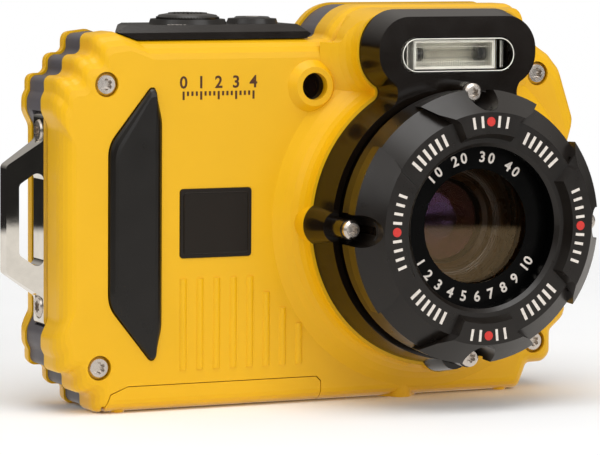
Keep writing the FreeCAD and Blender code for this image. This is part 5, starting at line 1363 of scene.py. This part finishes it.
@dataclass
class RearMarks:
    """The signs and rims of the rear keys, and the line and light of the display."""

    record_radius: float = 1.3 * MM
    play_reach: float = 1.4 * MM
    mode_bars: Bars = Bars(2.3 * MM, 0.3 * MM, count=3, pitch=0.8 * MM)
    cross_bar: Bars = Bars(2.6 * MM, 0.36 * MM)
    set_ring: tuple[float, float, float, float, int] = (1.5 * MM, 1.8 * MM, 0, 359.5, 48)
    arrow_reach: float = 0.85 * MM
    arrow_off: float = 6.6 * MM
    rocker_bar: Bars = Bars(1.8 * MM, 0.34 * MM)
    rocker_strokes: tuple[tuple[float, float], ...] = ((-4.6 * MM, 90), (4.6 * MM, 90), (4.6 * MM, 180))
    border: float = 2.2 * MM
    border_corner: float = 0.8 * MM
    border_wire: float = 0.05 * MM
    light_radius: float = 0.45 * MM
    light_inset: tuple[float, float] = (1.1 * MM, 2.6 * MM)
    rim_insets: tuple[float, ...] = (0.45 * MM, 0.12 * MM, 0.2 * MM, 0.38 * MM)
    rim_rise: float = 0.07 * MM
    rimmed: tuple[Body, ...] = (Body.RECORD, Body.PLAY, Body.MODE, Body.DELETE)
    screen: Box = box_of("display_window")

    def on_key(self, node: str) -> Matrix:
        """Give the place of a sign on the back of a key."""
        return facing_back(Box.of(node).back)

    def flat(self, node: str, *outlines: Outline) -> list[Mesh]:
        """Make flat signs on the back of a key."""
        return [placed(flat_shape(outline, PRINT_HEIGHT), self.on_key(node)) for outline in outlines]

    def build(self, shop: Workshop) -> None:
        """Print the signs and raise the rims.

        Args:
            shop: The workshop that makes the pieces.
        """
        arrows = []
        for quarter in range(4):
            angle = math.radians(90 * quarter)
            centre = (self.arrow_off * math.cos(angle), self.arrow_off * math.sin(angle))
            arrows.append(triangle(self.arrow_reach, 90 * quarter, centre))
        mode, cross = self.on_key("mode_key") @ turned(90), self.on_key("delete_key")
        rocker = self.on_key("zoom_rocker")
        signs = (
            ("record_mark", Body.RECORD, Ink.RED, self.flat("record_key", disc_outline(self.record_radius))),
            ("play_mark", Body.PLAY, Ink.WHITE, self.flat("play_key", triangle(self.play_reach, 0))),
            ("mode_mark", Body.MODE, Ink.WHITE, [shop.grow(self.mode_bars, Ink.WHITE, mode)]),
            ("delete_mark", Body.DELETE, Ink.WHITE, [
                shop.grow(self.cross_bar, Ink.WHITE, cross @ turned(turn)) for turn in (-45, 45)
            ]),
            ("set_mark", Body.SET, Ink.WHITE, self.flat("set_key", sector_outline(*self.set_ring))),
            ("pad_arrows", Body.PAD, Ink.GREY, self.flat("direction_pad", *arrows)),
            ("rocker_marks", Body.ROCKER, Ink.WHITE, [
                shop.grow(self.rocker_bar, Ink.WHITE, rocker @ Matrix.Translation(step(x=x)) @ turned(turn))
                for x, turn in self.rocker_strokes
            ]),
        )
        for name, body, ink, meshes in signs:
            shop.piece(name, meshes, ink, body, slot=Slot.CONTROL)
        self.dress_display(shop)
        for body in self.rimmed:
            node = f"{body.value}_key"
            radius = Box.of(node).size.x / 2
            heights = (-SINK, -SINK, self.rim_rise, self.rim_rise)
            rim = [(radius - inset, height) for inset, height in zip(self.rim_insets, heights)]
            raised = placed(turned_shape(rim, RIM_SEGMENTS), self.on_key(node))
            shop.piece(f"{node}_rim", [raised], Slot.CONTROL, body, smooth=40)

    def dress_display(self, shop: Workshop) -> None:
        """Draw the line round the display and its status light.

        Args:
            shop: The workshop that makes the pieces.
        """
        place, size = facing_back(self.screen.back), self.screen.size
        bead = Bead.inside(self.screen, 2 * self.border, self.border_corner, self.border_wire)
        line = shop.grow(bead, Ink.GREY, place)
        shop.piece("display_line", [line], Ink.GREY, slot=Slot.DISPLAY)
        across, up = self.light_inset
        corner = place @ Matrix.Translation(step(size.x / 2 - across, up - size.z / 2))
        light = placed(flat_shape(disc_outline(self.light_radius), PRINT_HEIGHT), corner)
        shop.piece("status_light", [light], Ink.GREEN, slot=Slot.DISPLAY)


@dataclass
class Underside:
    """The thread in the tripod socket, and the ribs and arrow of the door's lock."""

    thread_start: float = 0.25 * MM
    thread: Coil = Coil(3.6, 2.6 * MM, 4.4 * MM, 0.3 * MM)
    ribs: Bars = Bars(6.0 * MM, 0.4 * MM, 0.12 * MM, count=5, pitch=1.0 * MM)
    ribs_off: float = 1.5 * MM
    arrow_off: float = 4.0 * MM
    arrow_up: float = 0.15 * MM
    arrow_reach: float = 1.1 * MM
    socket: Box = box_of("tripod_socket")
    lock: Box = box_of("door_lock")
    door: Box = box_of("battery_door")

    def build(self, shop: Workshop) -> None:
        """Wind the thread, raise the ribs and print the arrow.

        Args:
            shop: The workshop that makes the pieces.
        """
        ridge = shop.grow(self.thread, Slot.BRASS, facing_up(self.socket.foot + step(z=self.thread_start)))
        shop.piece("socket_thread", [ridge], Slot.BRASS, smooth=60)
        low = facing_down(self.lock.foot - step(x=self.ribs_off))
        shop.piece("lock_ribs", [shop.grow(self.ribs, Slot.CONTROL, low)], Slot.CONTROL, Body.LOCK)
        place = step(self.lock.low.x - self.arrow_off, self.lock.middle.y, self.door.low.z + self.arrow_up)
        arrow = placed(flat_shape(triangle(self.arrow_reach, 180), PRINT_HEIGHT), facing_down(place))
        shop.piece("lock_arrow", [arrow], Ink.DARK, Body.DOOR, slot=Slot.SHELL)


@dataclass
class InnerParts:
    """Contacts, chips and markings on the parts behind the door and inside the case."""

    sign_bar: Bars = Bars(2.2 * MM, 0.4 * MM)
    sign_strokes: tuple[tuple[float, float], ...] = ((-9.0 * MM, 90), (9.0 * MM, 90), (9.0 * MM, 0))
    pads: Bars = Bars(4.0 * MM, 1.5 * MM, PRINT_HEIGHT, count=8, pitch=2.5 * MM)
    pads_below: float = 3.4 * MM
    chips_mm: tuple[tuple[float, float, float, float], ...] = (
        (-20.0, 50.0, 11.0, 11.0), (-36.0, 52.0, 8.0, 5.0), (14.0, 14.0, 7.0, 7.0),
    )
    chip_height: float = 0.9 * MM
    battery: Box = box_of("battery")
    card: Box = box_of("memory_card")
    board: Box = box_of("main_board")

    def build(self, shop: Workshop) -> None:
        """Dress the battery, the card and the board.

        Args:
            shop: The workshop that makes the pieces.
        """
        signs = [
            shop.grow(self.sign_bar, Ink.WHITE, facing_down(self.battery.foot + step(x=x)) @ turned(turn))
            for x, turn in self.sign_strokes
        ]
        shop.piece("battery_signs", signs, Ink.WHITE, slot=Slot.BATTERY)
        side = facing_front(step(self.card.middle.x, self.card.low.y, self.card.high.z - self.pads_below))
        shop.piece("card_contacts", [shop.grow(self.pads, Slot.BRASS, side)], Slot.BRASS)
        chips = []
        for x, z, across, up in self.chips_mm:
            spot = facing_back(step(x * MM, self.board.high.y, z * MM))
            chips.append(shop.grow(Bars(up * MM, across * MM, self.chip_height), Slot.SLEEVE, spot))
        shop.piece("board_chips", chips, Slot.SLEEVE)


@dataclass(frozen=True)
class Softbox:
    """A square soft lamp that faces the object."""

    name: str
    azimuth_deg: float
    elevation_deg: float
    distance: float
    side: float
    watts: float


@dataclass
class Studio:
    """The floor, the soft lights, the room and the camera."""

    target: Point = (-19.472 * MM, -0.675 * MM, 31.954 * MM)
    azimuth_deg: float = -25.229
    elevation_deg: float = 5.353
    roll_deg: float = 0.402
    distance: float = 642.49 * MM
    lens: float = 209.17
    sensor: float = 36.0
    clip: tuple[float, float] = (0.01, 50.0)
    lamps: tuple[Softbox, ...] = (
        Softbox("softbox_above", -15, 72, 0.9, 0.7, 4.6),
        Softbox("softbox_left", -75, 30, 0.9, 0.5, 0.9),
        Softbox("softbox_front", 18, 22, 1.0, 0.7, 2.9),
    )
    floor_reach: float = 6.0
    floor_depth: float = 0.01
    floor_dark: Colour = linear(250, 250, 250)
    floor_dark_share: float = 0.995
    floor_light: Colour = linear(252, 252, 252)
    floor_patches_mm: float = 60.0
    white_scale: float = 2.2
    white_fade: float = 0.7
    ambient: float = 0.5
    mirror_low: float = 0.1
    mirror_high: float = 0.9
    mirror_top: float = 0.9
    mirror_table: float = 0.85
    mirror_far: float = 0.02
    mirror_colour: Colour = (1.0, 0.95, 0.89)
    table_reach: float = 0.37
    table_edge: float = 0.02

    def looking(self, azimuth_deg: float, elevation_deg: float, distance: float) -> Matrix:
        """Give the place of something that looks at the object.

        Args:
            azimuth_deg: Its direction round the object, from the front towards the right.
            elevation_deg: Its height as an angle.
            distance: How far away it is.

        Returns:
            Its place, with its -Z towards the object.
        """
        azimuth, elevation = math.radians(azimuth_deg), math.radians(elevation_deg)
        flat = math.cos(elevation)
        back = step(math.sin(azimuth) * flat, -math.cos(azimuth) * flat, math.sin(elevation))
        aim = (-back).to_track_quat("-Z", "Y").to_matrix().to_4x4()
        return Matrix.Translation(Vector(self.target) + back * distance) @ aim

    def build(self) -> None:
        """Set up the scene round the camera."""
        self.floor()
        self.world()
        for lamp in self.lamps:
            self.hang(lamp)
        self.camera()
        bpy.context.scene.view_settings.view_transform = "Standard"

    def camera(self) -> None:
        """Place the camera where the photograph was taken."""
        data = bpy.data.cameras.new("camera")
        data.sensor_width = self.sensor
        data.lens = self.lens
        data.clip_start, data.clip_end = self.clip
        camera = bpy.data.objects.new("camera", data)
        bpy.context.scene.collection.objects.link(camera)
        place = self.looking(self.azimuth_deg, self.elevation_deg, self.distance)
        camera.matrix_world = place @ turned(self.roll_deg)
        bpy.context.scene.camera = camera

    def hang(self, lamp: Softbox) -> None:
        """Hang a softbox.

        Args:
            lamp: Its place, size and power.
        """
        data = bpy.data.lights.new(lamp.name, "AREA")
        data.energy = lamp.watts
        data.size = lamp.side
        hung = bpy.data.objects.new(lamp.name, data)
        bpy.context.scene.collection.objects.link(hung)
        hung.matrix_world = self.looking(lamp.azimuth_deg, lamp.elevation_deg, lamp.distance)

    def world(self) -> None:
        """Fill the room with even light; it is white behind the object, and darker towards the floor in mirrors."""
        world = bpy.data.worlds.new("room")
        world.use_nodes = True
        bpy.context.scene.world = world
        room = Nodes(world.node_tree)
        glow = room.tree.nodes["Background"]
        glow.inputs["Color"].default_value = WHITE_LIGHT
        glow.inputs["Strength"].default_value = self.ambient
        height = room.height(room.node("ShaderNodeTexCoord").outputs["Generated"])
        grade = room.spread(height, (0.0, self.mirror_top), (self.mirror_low, self.mirror_high), "SMOOTHSTEP")
        mirrored = room.node("ShaderNodeBackground", {"Strength": grade}, Color=self.mirror_colour + (1.0,))
        seen = room.node("ShaderNodeBackground", Color=WHITE_LIGHT, Strength=1.0)
        rays = room.node("ShaderNodeLightPath").outputs
        lit = room.mixed(rays["Is Glossy Ray"], glow.outputs[0], mirrored.outputs[0])
        shown = room.maths("MAXIMUM", rays["Is Camera Ray"], rays["Is Transmission Ray"])
        room.link(room.mixed(shown, lit, seen.outputs[0]), room.tree.nodes["World Output"].inputs[0])

    def floor(self) -> None:
        """Lay a pale floor that runs out into the white of the room, and is clear from below."""
        reach = self.floor_reach
        mesh = flat_shape([(-reach, -reach), (reach, -reach), (reach, reach), (-reach, reach)], -self.floor_depth)
        floor = bpy.data.objects.new("floor", mesh)
        bpy.context.scene.collection.objects.link(floor)
        shader = Shader("pale_floor")
        shader.set(Roughness=0.9, Specular_IOR_Level=0.0)
        shades = (shaded(self.floor_dark, self.floor_dark_share), shaded(self.floor_light, 1.0))
        shader.tint(shader.noise(self.floor_patches_mm, 3.0), shades)
        scale = (self.white_scale,) * 3
        mapping = shader.node("ShaderNodeMapping", {"Vector": shader.place}, Scale=scale)
        near = shader.node("ShaderNodeTexGradient", {"Vector": mapping.outputs["Vector"]}, gradient_type="SPHERICAL")
        fade = shader.spread(near.outputs["Fac"], (0.0, self.white_fade), (0.0, 1.0), "SMOOTHSTEP")
        pale = shader.mixed(fade, shader.node("ShaderNodeEmission").outputs[0], shader.main.outputs[0])
        edge = (self.table_reach, self.table_reach + self.table_edge)
        table = shader.spread(shader.length(shader.place), edge, (self.mirror_table, self.mirror_far))
        mirrored = shader.node("ShaderNodeEmission", {"Strength": table}, Color=self.mirror_colour + (1.0,))
        glossy = shader.node("ShaderNodeLightPath").outputs["Is Glossy Ray"]
        above = shader.mixed(glossy, pale, mirrored.outputs[0])
        clear = shader.node("ShaderNodeBsdfTransparent").outputs[0]
        incoming = shader.height(shader.node("ShaderNodeNewGeometry").outputs["Incoming"])
        whole = shader.mixed(shader.maths("LESS_THAN", incoming, 0.0), above, clear)
        shader.link(whole, shader.tree.nodes["Material Output"].inputs[0])
        mesh.materials.append(shader.material)


def write_sizes() -> None:
    """Bring the view layer up to date."""
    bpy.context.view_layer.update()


def main() -> None:
    """Dress the nodes, build the pieces and set up the studio."""
    logging.basicConfig(level=logging.INFO, format="%(message)s")
    finishes = Finishes()
    LOG.info("%d nodes dressed", finishes.dress_nodes(frame["record"]["subparts"]))
    shop = Workshop(finishes)
    for part in (LensDial, LensOptics, FlashParts, FrontMarks, TopControls, RearMarks, Underside, InnerParts):
        part().build(shop)
    Studio().build()
    write_sizes()
    LOG.info("%d pieces built", shop.count)


if __name__ == "__main__":
    main()
